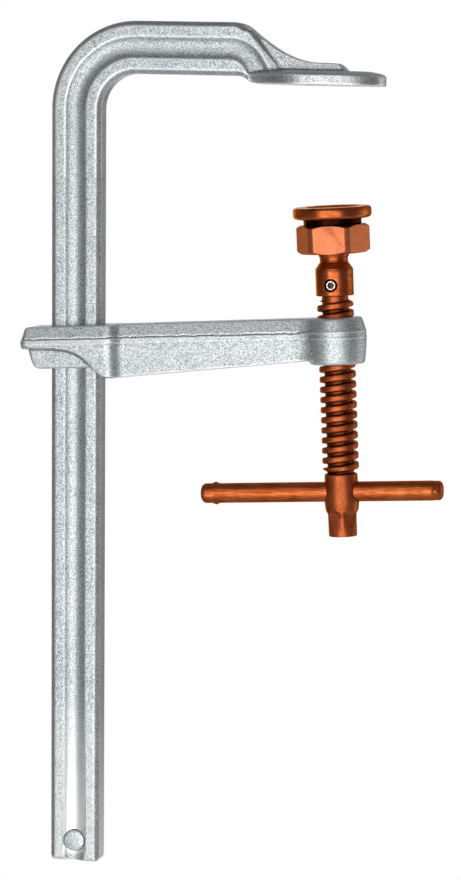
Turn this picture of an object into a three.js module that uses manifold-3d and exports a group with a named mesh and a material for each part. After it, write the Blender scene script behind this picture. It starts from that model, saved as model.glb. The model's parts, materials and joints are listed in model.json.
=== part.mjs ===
// All-steel F clamp with a drop-forged rail, a sliding arm and a copper-plated screw.
// Millimetres, +Z up along the rail. The origin is the middle of the fixed jaw's clamping face,
// where the line of the screw meets it. +X runs from the rail towards the screw.

import * as THREE from 'three';
import { mergeVertices } from 'three/addons/utils/BufferGeometryUtils.js';
import Module from 'manifold-3d';

const wasm = await Module();
wasm.setup();

// ---------------------------------------------------------------- driving dimensions

const FIT_GAP = 0.35; // running clearance between neighbouring pieces

const RAIL = {
  width: 26, // across the wide faces, along X
  thick: 12.5, // along Y
  edgeRadius: 2.2,
  centreX: -126.8,
  bottomZ: -393,
  groove: { width: 10.6, depth: 2 },
};

const BEND = { centreX: -96.5, centreZ: -11.8, radius: 30.3, steps: 14 };

const TOE_IN = THREE.MathUtils.degToRad(1); // the jaw dips slightly, and squares up under load

// The jaw's own sizes are taken square to its clamping face, before the toe-in is applied.
const JAW = {
  barEndX: -44,
  topZ: 29.84,
  underZ: 3.84,
  ribStart: [-35.5, 24.5],
  ribFoot: -4,
  ribTipX: 10.8,
  ribTopZ: 10.9,
  ribHalf: 4,
};

const ANVIL = { reach: 28.6, halfWidth: 19, thick: 6.6, edge: 1.6 };

const RIVET = { radius: 5.35, z: -382.7, edge: 0.5 };

// The free arm hangs tipped on the rail, which is what makes it grip. Everything that rides on it
// is modelled in the arm's own frame, whose Z axis is the axis of the screw.
const COCK = THREE.MathUtils.degToRad(2.65);

const ARM = {
  headLeft: -160,
  headRight: -116,
  topZ: -112.9,
  partingZ: -120.4,
  flangeZ: -124.7,
  collarBottomZ: -134.7,
  heelZ: -140.2,
  headHalf: 13,
  beamHalf: 8.4,
  collarHalf: 10.8,
  topDraft: 2.4,
  window: { centreX: -132.7, halfX: 14, halfY: 6.7 },
  key: { baseHalf: 3.2, tipHalf: 1.5, height: 1.1 },
  boss: { radius: 14.8, topZ: -112.7, bottomZ: -135.7, edge: 1.4 },
};

// The thread is right-handed. phaseZ is a height where its crest faces +X.
const THREAD = {
  pitch: 5,
  rootRadius: 6.5,
  crestRadius: 9,
  crestHalf: 1.05,
  footHalf: 1.5,
  perTurn: 16,
  phaseZ: -141,
};

const SPINDLE = {
  journal: { radius: 6.2, topZ: -90.9, bottomZ: -102.6 },
  screwGroove: { radius: 4.8, halfWidth: 2.9 },
  threadTopZ: -103.8,
  threadBottomZ: -189.5,
  head: { radius: 8.6, topZ: -188.2, bottomZ: -208 },
  hex: { flatHalf: 7, topZ: -206, bottomZ: -220.8, cornerTurn: 12 },
};

const TOMMY = {
  radius: 4.95,
  z: -198.9,
  left: -70.8,
  right: 50.5,
  turn: THREE.MathUtils.degToRad(2),
  crimpInset: { left: 7.4, right: 3.4 },
  crimpProud: 0.75,
};

const STUD = {
  sleeveRadius: 9.3,
  boreRadius: 6.55,
  bottomZ: -102.2,
  coneBottomZ: -88.7,
  coneTopZ: -85.8,
  neckRadius: 6.95,
  ballZ: -72.5,
  ballRadius: 10.8,
};

const SET_SCREW = { radius: 2.4, socketRadius: 1.45, z: -96.9, outer: 9.1, inner: 5.4, socketDepth: 2.4 };

const PAD_LEAN = THREE.MathUtils.degToRad(2); // the loose pad sags forward on its ball

const NUT = {
  flatHalf: 16.2,
  cornerRadius: 18.1,
  topZ: -67.5,
  bottomZ: -81.2,
  turn: 4.5,
  chamfer: 1,
  boreRadius: 13.1,
  openingRadius: 9.6,
};

const PLATE = {
  radius: 19.3,
  topZ: -58.6,
  bottomZ: -64.4,
  edge: 1.6,
  recess: { radius: 12, depth: 0.8 },
  neckRadius: 14.35,
  neckBottomZ: -67.2,
  threadRadius: 12.7,
  threadBottomZ: -71.5,
};

// ---------------------------------------------------------------- materials

const FORGED = { color: 0xb9bec1, roughness: 0.5, metalness: 0.9 };
const RIVET_STEEL = { color: 0xc6cacb, roughness: 0.4, metalness: 0.9 };
const COPPER = { color: 0xb4602f, roughness: 0.38, metalness: 0.95 };
const BRIGHT_STEEL = { color: 0xd8d2ce, roughness: 0.3, metalness: 1 };

// ---------------------------------------------------------------- working with solids

/** Turns a closed three.js geometry into a solid for cutting and joining. */
function solid(geometry) {
  const bare = geometry.clone();
  bare.deleteAttribute('normal');
  bare.deleteAttribute('uv');
  const merged = mergeVertices(bare, 1e-4);
  return new wasm.Manifold(
    new wasm.Mesh({
      numProp: 3,
      vertProperties: new Float32Array(merged.attributes.position.array),
      triVerts: new Uint32Array(merged.index.array),
    }),
  );
}

/** Turns a solid back into a geometry with flat-shaded faces. */
function geometryOf(manifold) {
  const mesh = manifold.getMesh();
  const geometry = new THREE.BufferGeometry();
  geometry.setAttribute('position', new THREE.BufferAttribute(mesh.vertProperties, 3));
  geometry.setIndex(new THREE.BufferAttribute(mesh.triVerts, 1));
  geometry.computeVertexNormals();
  return geometry;
}

/** A named mesh with its own material. */
function piece(name, manifold, finish) {
  const mesh = new THREE.Mesh(geometryOf(manifold), new THREE.MeshStandardMaterial(finish));
  mesh.name = name;
  return mesh;
}

const union = (first, ...others) => others.reduce((whole, part) => whole.add(part), first);
const without = (first, ...cutters) => cutters.reduce((whole, cutter) => whole.subtract(cutter), first);

/** A closed shape through points given as [x, y]. */
function polygon(points) {
  return new THREE.Shape(points.map(([x, y]) => new THREE.Vector2(x, y)));
}

/** Extrudes a side outline, drawn in X and Z, symmetrically along Y. */
function sideExtrude(shape, halfY, bevel = 0, curveSegments = 6) {
  const depth = 2 * (halfY - bevel);
  const geometry = new THREE.ExtrudeGeometry(shape, {
    depth,
    curveSegments,
    bevelEnabled: bevel > 0,
    bevelThickness: bevel,
    bevelSize: bevel,
    bevelOffset: -bevel,
    bevelSegments: 2,
  });
  geometry.translate(0, 0, -depth / 2);
  geometry.rotateX(Math.PI / 2);
  return geometry;
}

/** Extrudes a plan outline, drawn in X and Y, from one height to another. */
function planExtrude(shape, lowZ, highZ, bevel = { size: 0, rise: 0, segments: 1 }, curveSegments = 6) {
  const geometry = new THREE.ExtrudeGeometry(shape, {
    depth: highZ - lowZ - 2 * bevel.rise,
    curveSegments,
    bevelEnabled: bevel.size > 0,
    bevelThickness: bevel.rise,
    bevelSize: bevel.size,
    bevelOffset: -bevel.size,
    bevelSegments: bevel.segments,
  });
  geometry.translate(0, 0, lowZ + bevel.rise);
  return geometry;
}

/** Revolves a profile of [radius, z] points, listed upwards, about the Z axis. */
function turned(profile, segments = 32) {
  const points = profile.map(([radius, z]) => new THREE.Vector2(radius, z));
  const geometry = new THREE.LatheGeometry(points, segments);
  geometry.rotateX(Math.PI / 2);
  return geometry;
}

/** Points of a circular arc in a profile, from one angle to another in degrees. */
function arcPoints(centreR, centreZ, radius, from, to, steps) {
  return Array.from({ length: steps + 1 }, (_, i) => {
    const angle = THREE.MathUtils.degToRad(from + ((to - from) * i) / steps);
    return [centreR + radius * Math.cos(angle), centreZ + radius * Math.sin(angle)];
  });
}

/** A regular hexagonal prism, with one corner turned by an angle in degrees from -Y towards +X. */
function hexPrism(flatHalf, lowZ, highZ, cornerTurn) {
  const cornerRadius = flatHalf / Math.cos(Math.PI / 6);
  const start = THREE.MathUtils.degToRad(cornerTurn - 90);
  const corners = Array.from({ length: 6 }, (_, i) => [
    cornerRadius * Math.cos(start + (i * Math.PI) / 3),
    cornerRadius * Math.sin(start + (i * Math.PI) / 3),
  ]);
  return planExtrude(polygon(corners), lowZ, highZ);
}

// ---------------------------------------------------------------- rail and fixed jaw

/** The centre line of the rail, round the bend and along the jaw, sampled closely only in the bend. */
class RailPath extends THREE.Curve {
  constructor() {
    super();
    const sweep = Math.PI / 2 + TOE_IN;
    const bend = Array.from({ length: BEND.steps + 1 }, (_, i) => {
      const angle = (sweep * i) / BEND.steps;
      const centre = new THREE.Vector3(BEND.centreX, 0, BEND.centreZ);
      return { angle, point: centre.addScaledVector(this.outward(angle), BEND.radius) };
    });
    const exit = bend.at(-1).point;
    const jawLength = (JAW.barEndX - exit.x) / Math.sin(sweep);
    const bottom = new THREE.Vector3(RAIL.centreX, 0, RAIL.bottomZ);
    const end = exit.clone().addScaledVector(this.along(sweep), jawLength);
    this.stations = [{ angle: 0, point: bottom }, ...bend, { angle: sweep, point: end }];
  }

  along(angle) {
    return new THREE.Vector3(Math.sin(angle), 0, Math.cos(angle));
  }

  outward(angle) {
    return new THREE.Vector3(-Math.cos(angle), 0, Math.sin(angle));
  }

  getPointAt(u) {
    return this.stations[Math.round(u * (this.stations.length - 1))].point.clone();
  }

  computeFrenetFrames() {
    return {
      tangents: this.stations.map(({ angle }) => this.along(angle)),
      normals: this.stations.map(({ angle }) => this.outward(angle)),
      binormals: this.stations.map(() => new THREE.Vector3(0, -1, 0)),
    };
  }
}

/** The bar's section: rounded edges and a shallow round-bottomed groove in each wide face. */
function railSection() {
  const halfW = RAIL.width / 2;
  const halfT = RAIL.thick / 2;
  const r = RAIL.edgeRadius;
  const { width, depth } = RAIL.groove;
  const grooveRadius = (width ** 2 / 4 + depth ** 2) / (2 * depth);
  const grooveAngle = Math.asin(width / 2 / grooveRadius);
  const grooveCentre = halfT + grooveRadius - depth;
  const quarter = Math.PI / 2;
  const shape = new THREE.Shape();
  shape.moveTo(halfW, -halfT + r);
  shape.lineTo(halfW, halfT - r);
  shape.absarc(halfW - r, halfT - r, r, 0, quarter, false);
  shape.absarc(0, grooveCentre, grooveRadius, -quarter + grooveAngle, -quarter - grooveAngle, true);
  shape.absarc(-halfW + r, halfT - r, r, quarter, 2 * quarter, false);
  shape.absarc(-halfW + r, -halfT + r, r, 2 * quarter, 3 * quarter, false);
  shape.absarc(0, -grooveCentre, grooveRadius, quarter + grooveAngle, quarter - grooveAngle, true);
  shape.absarc(halfW - r, -halfT + r, r, -quarter, 0, false);
  return shape;
}

/** The bar along the rail path. */
function railBar() {
  const path = new RailPath();
  return solid(
    new THREE.ExtrudeGeometry(railSection(), {
      steps: path.stations.length - 1,
      curveSegments: 2,
      extrudePath: path,
    }),
  );
}

/** Everything above a line that is rounded up at both sides of the rail's foot. */
function footTrim() {
  const left = RAIL.centreX - RAIL.width / 2;
  const right = RAIL.centreX + RAIL.width / 2;
  const r = RAIL.edgeRadius;
  const low = RAIL.bottomZ;
  const wide = 200;
  const side = new THREE.Shape();
  side.moveTo(left + r, low);
  side.lineTo(right - r, low);
  side.quadraticCurveTo(right, low, right + FIT_GAP, low + r);
  side.lineTo(right + wide, low + wide);
  side.lineTo(right + wide, wide);
  side.lineTo(left - wide, wide);
  side.lineTo(left - wide, low + wide);
  side.lineTo(left - FIT_GAP, low + r);
  side.quadraticCurveTo(left, low, left + r, low);
  return solid(sideExtrude(side, 2 * ANVIL.halfWidth));
}

/** The oval clamping plate, drawn in at its root to meet the bar. */
function anvilPlate() {
  const { reach, halfWidth, thick, edge } = ANVIL;
  const root = RAIL.thick / 2;
  const rootX = JAW.barEndX - 6;
  const plan = new THREE.Shape();
  plan.moveTo(rootX, -root);
  plan.lineTo(rootX + 12, -root);
  plan.bezierCurveTo(rootX + 20, -root - 1, rootX + 22, -halfWidth, -6, -halfWidth);
  plan.bezierCurveTo(14, -halfWidth, reach, -halfWidth * 0.6, reach, 0);
  plan.bezierCurveTo(reach, halfWidth * 0.6, 14, halfWidth, -6, halfWidth);
  plan.bezierCurveTo(rootX + 22, halfWidth, rootX + 20, root + 1, rootX + 12, root);
  plan.lineTo(rootX, root);
  return solid(planExtrude(plan, 0, thick, { size: edge, rise: edge, segments: 2 }, 8));
}

/** The underside of the root rises in a short step from the plate to the bar. */
function rootStepCutter() {
  const { barEndX, underZ } = JAW;
  const step = polygon([
    [barEndX - 20, underZ],
    [barEndX - 1, underZ],
    [barEndX + 4, 1.1],
    [barEndX + 9, -0.05],
    [barEndX + 9, -5],
    [barEndX - 20, -5],
  ]);
  return solid(sideExtrude(step, 2 * ANVIL.halfWidth));
}

/** The swept-down end of the bar, as thick as the bar, cut off along a slant. */
function jawShoulder() {
  const { barEndX, topZ, underZ } = JAW;
  const side = new THREE.Shape();
  side.moveTo(barEndX - 8, topZ);
  side.bezierCurveTo(barEndX - 1, topZ, barEndX + 1, topZ - 1, barEndX + 3.5, topZ - 2.2);
  side.lineTo(-27.5, 7);
  side.lineTo(-30, 0.8);
  side.lineTo(barEndX, underZ - 2);
  side.lineTo(barEndX - 8, underZ);
  return solid(sideExtrude(side, RAIL.thick / 2, 1.6, 4));
}

/** The narrow rib that carries the bar's height down onto the plate in a hollow curve. */
function jawRib() {
  const { barEndX, topZ, ribStart, ribFoot, ribTipX, ribTopZ } = JAW;
  const side = new THREE.Shape();
  side.moveTo(barEndX - 8, topZ);
  side.bezierCurveTo(barEndX, topZ, barEndX + 3.5, topZ - 2, ribStart[0], ribStart[1]);
  side.bezierCurveTo(-27, 18.2, -18, ribTopZ + 0.3, ribFoot, ribTopZ);
  side.lineTo(ribTipX - 4, ribTopZ - 0.3);
  side.lineTo(ribTipX, ANVIL.thick);
  side.lineTo(ribTipX, 2);
  side.lineTo(barEndX - 8, 5);
  return solid(sideExtrude(side, JAW.ribHalf, 1.2, 8));
}

/** The rail and the fixed jaw are one forging. */
function railWithFixedJaw() {
  const jaw = without(union(anvilPlate(), jawShoulder(), jawRib()), rootStepCutter());
  const toedIn = jaw.rotate([0, THREE.MathUtils.radToDeg(TOE_IN), 0]);
  const rivetHole = turned([[0, -RAIL.thick], [1, -RAIL.thick], [1, RAIL.thick], [0, RAIL.thick]]);
  rivetHole.scale(RIVET.radius + FIT_GAP, RIVET.radius + FIT_GAP, 1);
  rivetHole.rotateX(Math.PI / 2);
  rivetHole.translate(RAIL.centreX, 0, RIVET.z);
  return without(union(railBar(), toedIn).intersect(footTrim()), solid(rivetHole));
}

/** The rivet that fills the grooves near the foot and stops the arm's keys from sliding off. */
function endStopRivet() {
  const { radius, edge } = RIVET;
  const half = RAIL.thick / 2;
  const profile = [[0, -half], [radius - edge, -half], [radius, -half + edge], [radius, half - edge]];
  const rivet = turned([...profile, [radius - edge, half], [0, half]], 36);
  rivet.rotateX(Math.PI / 2);
  rivet.translate(RAIL.centreX, 0, RIVET.z);
  return solid(rivet);
}

// ---------------------------------------------------------------- screw thread

/** A right-handed helix about Z whose frames stay radial and axial. */
class Helix extends THREE.Curve {
  constructor(radius, lowZ, highZ) {
    super();
    Object.assign(this, { radius, lowZ, highZ });
  }

  angleAt(u) {
    const z = THREE.MathUtils.lerp(this.lowZ, this.highZ, u);
    return (2 * Math.PI * (z - THREAD.phaseZ)) / THREAD.pitch;
  }

  getPoint(u) {
    const angle = this.angleAt(u);
    const z = THREE.MathUtils.lerp(this.lowZ, this.highZ, u);
    return new THREE.Vector3(this.radius * Math.cos(angle), this.radius * Math.sin(angle), z);
  }

  computeFrenetFrames(segments) {
    const angles = Array.from({ length: segments + 1 }, (_, i) => this.angleAt(i / segments));
    return {
      tangents: angles.map((a) => new THREE.Vector3(-Math.sin(a), Math.cos(a), 0)),
      normals: angles.map((a) => new THREE.Vector3(Math.cos(a), Math.sin(a), 0)),
      binormals: angles.map(() => new THREE.Vector3(0, 0, -1)),
    };
  }
}

/** One tooth wound along the screw. A positive allowance makes it the cutter for a running thread. */
function threadTooth(lowZ, highZ, allowance = 0) {
  const { rootRadius, crestRadius, crestHalf, footHalf, perTurn, pitch, phaseZ } = THREAD;
  const crest = crestRadius - rootRadius + allowance;
  const buried = -1;
  const slope = (footHalf - crestHalf) / (crestRadius - rootRadius);
  const top = crestHalf + allowance;
  const foot = footHalf + allowance - buried * slope;
  const tooth = polygon([[buried, -foot], [crest, -top], [crest, top], [buried, foot]]);
  const rise = pitch / perTurn; // each step of the tooth covers one facet of the core it winds round
  const onFacet = (z) => phaseZ + Math.round((z - phaseZ) / rise) * rise;
  const helix = new Helix(rootRadius, onFacet(lowZ), onFacet(highZ));
  const steps = Math.round((helix.highZ - helix.lowZ) / rise);
  return solid(new THREE.ExtrudeGeometry(tooth, { steps, extrudePath: helix }));
}

// ---------------------------------------------------------------- sliding arm

/** The arm from above: a broad head, a waist, the beam and a flare that runs into the boss. */
function armPlan() {
  const { headLeft, headRight, headHalf, beamHalf, boss } = ARM;
  const corner = 4;
  const waist = headRight + 10;
  const flare = -boss.radius;
  const plan = new THREE.Shape();
  plan.moveTo(0, -boss.radius * 0.7);
  plan.quadraticCurveTo(flare + 2, -beamHalf - 1, flare - 9, -beamHalf);
  plan.lineTo(waist, -beamHalf);
  plan.quadraticCurveTo(headRight + 2, -beamHalf, headRight - 1, -headHalf);
  plan.lineTo(headLeft + corner, -headHalf);
  plan.quadraticCurveTo(headLeft, -headHalf, headLeft, -headHalf + corner);
  plan.lineTo(headLeft, headHalf - corner);
  plan.quadraticCurveTo(headLeft, headHalf, headLeft + corner, headHalf);
  plan.lineTo(headRight - 1, headHalf);
  plan.quadraticCurveTo(headRight + 2, beamHalf, waist, beamHalf);
  plan.lineTo(flare - 9, beamHalf);
  plan.quadraticCurveTo(flare + 2, beamHalf + 1, 0, boss.radius * 0.7);
  return plan;
}

/** The arm from the side: the beam deepens towards the rail and sweeps up over the collar. */
function armSide() {
  const { headLeft, headRight, boss, flangeZ, heelZ } = ARM;
  const side = new THREE.Shape();
  side.moveTo(headLeft + 2.2, ARM.topZ - 1.1);
  side.lineTo(5, ARM.topZ);
  side.lineTo(5, boss.bottomZ + 2);
  side.lineTo(-boss.radius, boss.bottomZ + 1.9);
  side.lineTo(headRight + 4, heelZ);
  side.bezierCurveTo(headRight - 4, heelZ + 0.5, headRight - 6, heelZ + 4.5, headRight - 10, heelZ + 9);
  side.bezierCurveTo(headRight - 14, flangeZ - 1.5, headRight - 19, flangeZ - 0.3, headRight - 31, flangeZ);
  side.lineTo(headLeft, flangeZ + 0.2);
  side.lineTo(headLeft, flangeZ + 2);
  return side;
}

/** The recessed collar under the head, which lengthens the arm's hold on the rail. */
function armCollar() {
  const { headLeft, headRight, collarHalf, collarBottomZ, flangeZ } = ARM;
  const side = polygon([
    [headLeft + 4, flangeZ + 3],
    [headLeft + 4.2, flangeZ - 2],
    [headLeft + 6, collarBottomZ + 3],
    [headLeft + 8.5, collarBottomZ],
    [headRight + 1, collarBottomZ],
    [headRight + 1, flangeZ + 3],
  ]);
  return solid(sideExtrude(side, collarHalf, 1.2));
}

/** The upright boss that carries the thread. */
function armBoss() {
  const { radius, topZ, bottomZ, edge } = ARM.boss;
  return solid(
    turned([
      [0, bottomZ],
      [radius - edge - 0.6, bottomZ],
      [radius - 0.5, bottomZ + edge],
      [radius, ARM.partingZ - 3],
      [radius, ARM.partingZ + 1],
      [radius - 0.8, topZ - edge],
      [radius - edge - 0.8, topZ],
      [0, topZ],
    ]),
  );
}

/** The opening for the rail, wide enough for the arm to tip, and the two keys that ride in its grooves. */
function railWindow() {
  const { centreX, halfX, halfY } = ARM.window;
  const tall = 60;
  const box = new THREE.BoxGeometry(2 * halfX, 2 * halfY, tall);
  box.translate(centreX, 0, ARM.flangeZ);
  const { baseHalf, tipHalf, height } = ARM.key;
  const tipY = RAIL.thick / 2 - height;
  const keys = [-1, 1].map((side) => {
    const base = side * (halfY + 0.6);
    const outline = [[-baseHalf, base], [baseHalf, base], [tipHalf, side * tipY], [-tipHalf, side * tipY]];
    const key = polygon(outline.map(([x, y]) => [x + centreX, y]));
    return solid(planExtrude(key, ARM.flangeZ - tall / 2, ARM.flangeZ + tall / 2));
  });
  return without(solid(box), ...keys);
}

/** The bore and its running thread, open at both faces of the boss. */
function threadedBore() {
  const { topZ, bottomZ } = ARM.boss;
  const radius = THREAD.rootRadius + FIT_GAP;
  const low = bottomZ - THREAD.pitch;
  const high = topZ + THREAD.pitch;
  const core = turned([[0, low], [radius, low], [radius, high], [0, high]], THREAD.perTurn);
  return union(solid(core), threadTooth(low, high, FIT_GAP));
}

function slidingArm() {
  const draft = { size: ARM.topDraft, rise: ARM.topZ - ARM.partingZ, segments: 1 };
  const low = ARM.heelZ - 2 * draft.rise;
  const blank = solid(planExtrude(armPlan(), low, ARM.topZ + 0.2, draft, 5));
  const trimmed = blank.intersect(solid(sideExtrude(armSide(), 2 * ARM.headHalf)));
  return without(union(trimmed, armCollar(), armBoss()), railWindow(), threadedBore());
}

// ---------------------------------------------------------------- spindle and tommy bar

/** Turns a piece made about Z so that it lies along the tommy bar. */
function alongTommy(geometry) {
  geometry.rotateY(Math.PI / 2);
  geometry.rotateZ(TOMMY.turn);
  geometry.translate(0, 0, TOMMY.z);
  return geometry;
}

function spindle() {
  const { journal, screwGroove, threadTopZ, head, hex } = SPINDLE;
  const { rootRadius, perTurn } = THREAD;
  const core = turned(
    [
      [0, head.topZ - 4],
      [rootRadius, head.topZ - 4],
      [rootRadius, journal.bottomZ],
      [journal.radius, journal.bottomZ],
      [journal.radius, SET_SCREW.z - screwGroove.halfWidth],
      [screwGroove.radius, SET_SCREW.z - screwGroove.halfWidth],
      [screwGroove.radius, SET_SCREW.z + screwGroove.halfWidth],
      [journal.radius, SET_SCREW.z + screwGroove.halfWidth],
      [journal.radius, journal.topZ - 0.6],
      [journal.radius - 0.6, journal.topZ],
      [0, journal.topZ],
    ],
    perTurn,
  );
  const barrel = turned([
    [0, head.bottomZ - 3.5],
    [6.4, head.bottomZ - 3.5],
    [7.4, head.bottomZ - 1.2],
    [head.radius - 0.3, head.bottomZ + 2],
    [head.radius, head.bottomZ + 6],
    [head.radius, head.topZ - 7],
    [head.radius - 0.3, head.topZ - 2],
    [head.radius - 1.2, head.topZ],
    [0, head.topZ],
  ]);
  const drive = hexPrism(hex.flatHalf, hex.bottomZ, hex.topZ, hex.cornerTurn);
  const hole = turned([[0, -20], [1, -20], [1, 20], [0, 20]], 32);
  const holeRadius = TOMMY.radius + FIT_GAP;
  hole.scale(holeRadius, holeRadius, 1);
  const tooth = threadTooth(SPINDLE.threadBottomZ, threadTopZ);
  return without(union(solid(core), tooth, solid(barrel), solid(drive)), solid(alongTommy(hole)));
}

/** The sliding handle: domed ends, and a crimp near each so that it can't fall out. */
function tommyBar() {
  const { radius, left, right, crimpInset, crimpProud } = TOMMY;
  const dome = 2.6;
  const profile = [
    [0, left],
    ...arcPoints(radius - dome, left + dome, dome, -90, 0, 3),
    ...arcPoints(radius - dome, right - dome, dome, 0, 90, 3),
    [0, right],
  ];
  const bar = solid(alongTommy(turned(profile, 28)));
  const crimp = (along, upright) => {
    const bulge = new THREE.SphereGeometry(1, 16, 10);
    const across = radius - 1.2;
    const proud = radius + crimpProud;
    bulge.scale(upright ? proud : across, upright ? across : proud, 2.6);
    bulge.translate(0, 0, along);
    return solid(alongTommy(bulge));
  };
  return union(bar, crimp(left + crimpInset.left, true), crimp(right - crimpInset.right, false));
}

// ---------------------------------------------------------------- swivel pad

/** The stud turns on the end of the spindle by its sleeve, and carries the ball of the pad. */
function padStud() {
  const { sleeveRadius, boreRadius, bottomZ, coneBottomZ, coneTopZ, neckRadius, ballZ, ballRadius } = STUD;
  const roofZ = SPINDLE.journal.topZ + 2 * FIT_GAP;
  const neckMeets = -THREE.MathUtils.radToDeg(Math.acos(neckRadius / ballRadius));
  const body = turned([
    [0, roofZ],
    [boreRadius, roofZ],
    [boreRadius, bottomZ],
    [sleeveRadius, bottomZ],
    [sleeveRadius, coneBottomZ],
    [neckRadius, coneTopZ],
    ...arcPoints(0, ballZ, ballRadius, neckMeets, 90, 10).slice(0, -1),
    [0, ballZ + ballRadius],
  ]);
  const hole = turned([[0, boreRadius - 2], [1, boreRadius - 2], [1, 12], [0, 12]], 20);
  hole.scale(SET_SCREW.radius + FIT_GAP, SET_SCREW.radius + FIT_GAP, 1);
  hole.rotateX(Math.PI / 2);
  hole.translate(0, 0, SET_SCREW.z);
  return solid(body).subtract(solid(hole));
}

/** The hollow-headed screw whose tip rides in the spindle's groove and keeps the stud on. */
function padSetScrew() {
  const { radius, socketRadius, outer, inner, socketDepth, z } = SET_SCREW;
  const screw = turned(
    [
      [0, inner],
      [radius, inner],
      [radius, outer],
      [socketRadius, outer],
      [socketRadius, outer - socketDepth],
      [0, outer - socketDepth],
    ],
    20,
  );
  screw.rotateX(Math.PI / 2);
  screw.translate(0, 0, z);
  return solid(screw);
}

/** The nut that holds the plate on the ball. Its opening passes over the sleeve but not the ball. */
function padUnionNut() {
  const { flatHalf, cornerRadius, topZ, bottomZ, turn, chamfer, boreRadius, openingRadius } = NUT;
  const chamferRise = chamfer * 0.8;
  const envelope = turned([
    [0, bottomZ],
    [cornerRadius - 1.6 * chamfer, bottomZ],
    [cornerRadius, bottomZ + chamferRise],
    [cornerRadius, topZ - chamferRise],
    [cornerRadius - 1.6 * chamfer, topZ],
    [0, topZ],
  ], 48);
  const seatRadius = STUD.ballRadius + FIT_GAP;
  const seatStart = -THREE.MathUtils.radToDeg(Math.acos(openingRadius / seatRadius));
  const cavity = turned([
    [0, bottomZ - 1],
    [openingRadius, bottomZ - 1],
    ...arcPoints(0, STUD.ballZ, seatRadius, seatStart, 0, 4),
    [boreRadius, STUD.ballZ],
    [boreRadius, topZ + 1],
    [0, topZ + 1],
  ]);
  const hexagon = solid(hexPrism(flatHalf, bottomZ, topZ, turn + 30));
  return without(hexagon.intersect(solid(envelope)), solid(cavity));
}

/** The round plate that bears on the work, with the socket for the ball in its neck. */
function pressurePlate() {
  const { radius, topZ, bottomZ, edge, recess, neckRadius, neckBottomZ, threadRadius, threadBottomZ } = PLATE;
  const socketRadius = STUD.ballRadius + FIT_GAP;
  const mouth = THREE.MathUtils.radToDeg(Math.asin((threadBottomZ - STUD.ballZ) / socketRadius));
  return solid(
    turned([
      [0, STUD.ballZ + socketRadius],
      ...arcPoints(0, STUD.ballZ, socketRadius, 90, mouth, 8).slice(1),
      [threadRadius, threadBottomZ],
      [threadRadius, neckBottomZ],
      [neckRadius, neckBottomZ],
      [neckRadius, bottomZ],
      ...arcPoints(radius - edge, bottomZ + edge, edge, -90, 0, 3),
      ...arcPoints(radius - edge, topZ - edge, edge, 0, 90, 3),
      [recess.radius, topZ],
      [recess.radius - recess.depth, topZ - recess.depth],
      [0, topZ - recess.depth],
    ]),
  );
}

// ---------------------------------------------------------------- assembly

const pad = new THREE.Group();
pad.position.z = STUD.ballZ;
pad.rotation.x = PAD_LEAN;
for (const mesh of [
  piece('pad_union_nut', padUnionNut(), COPPER),
  piece('pressure_plate', pressurePlate(), COPPER),
]) {
  mesh.position.z = -STUD.ballZ;
  pad.add(mesh);
}

const cocked = new THREE.Group();
cocked.rotation.y = -COCK;
cocked.add(
  piece('sliding_arm', slidingArm(), FORGED),
  piece('spindle', spindle(), COPPER),
  piece('tommy_bar', tommyBar(), COPPER),
  piece('pad_stud', padStud(), COPPER),
  piece('pad_set_screw', padSetScrew(), BRIGHT_STEEL),
  pad,
);

const clamp = new THREE.Group();
clamp.add(
  piece('rail_with_fixed_jaw', railWithFixedJaw(), FORGED),
  piece('end_stop_rivet', endStopRivet(), RIVET_STEEL),
  cocked,
);

export default clamp;
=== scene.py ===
"""An all-steel F clamp: a forged rail with its fixed jaw, a sliding arm, and a copper-plated
screw, tommy bar and swivel pad. Lengths are millimetres while a piece is being shaped, and metres
once it is finished."""

import json
import logging
import math
from collections.abc import Callable, Iterable, Sequence
from dataclasses import dataclass, field
from enum import Enum

import bmesh
import bpy
from bmesh.types import BMEdge, BMesh, BMFace, BMVert
from bpy.types import Material, Mesh, Node, NodeSocket, NodeTree, Object
from mathutils import Matrix, Vector, noise
from mathutils.bvhtree import BVHTree


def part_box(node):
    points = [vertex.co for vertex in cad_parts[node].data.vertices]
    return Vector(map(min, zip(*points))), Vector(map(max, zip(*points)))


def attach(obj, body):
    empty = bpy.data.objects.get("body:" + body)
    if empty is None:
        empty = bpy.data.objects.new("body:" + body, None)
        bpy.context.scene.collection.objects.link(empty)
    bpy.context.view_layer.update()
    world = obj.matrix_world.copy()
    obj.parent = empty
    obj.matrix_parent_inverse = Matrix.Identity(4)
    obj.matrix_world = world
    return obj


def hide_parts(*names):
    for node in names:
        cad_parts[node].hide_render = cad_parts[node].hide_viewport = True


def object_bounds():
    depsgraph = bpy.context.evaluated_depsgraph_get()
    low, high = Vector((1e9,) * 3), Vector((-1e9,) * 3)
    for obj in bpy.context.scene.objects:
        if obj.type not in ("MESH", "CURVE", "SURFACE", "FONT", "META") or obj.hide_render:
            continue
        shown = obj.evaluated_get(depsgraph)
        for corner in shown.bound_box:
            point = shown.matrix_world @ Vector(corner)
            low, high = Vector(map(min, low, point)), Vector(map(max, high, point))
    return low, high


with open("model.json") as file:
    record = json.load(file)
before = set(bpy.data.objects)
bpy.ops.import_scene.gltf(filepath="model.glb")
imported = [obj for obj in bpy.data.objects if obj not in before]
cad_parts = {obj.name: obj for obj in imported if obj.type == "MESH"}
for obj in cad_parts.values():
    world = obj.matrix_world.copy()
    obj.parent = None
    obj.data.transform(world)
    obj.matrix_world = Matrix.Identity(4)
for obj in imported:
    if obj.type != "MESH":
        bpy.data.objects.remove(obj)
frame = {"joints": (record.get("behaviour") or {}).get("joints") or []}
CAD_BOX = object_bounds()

LOG = logging.getLogger("f_clamp")
MM = 0.001
WELD = 1e-4  # corners nearer than this are one corner
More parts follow.
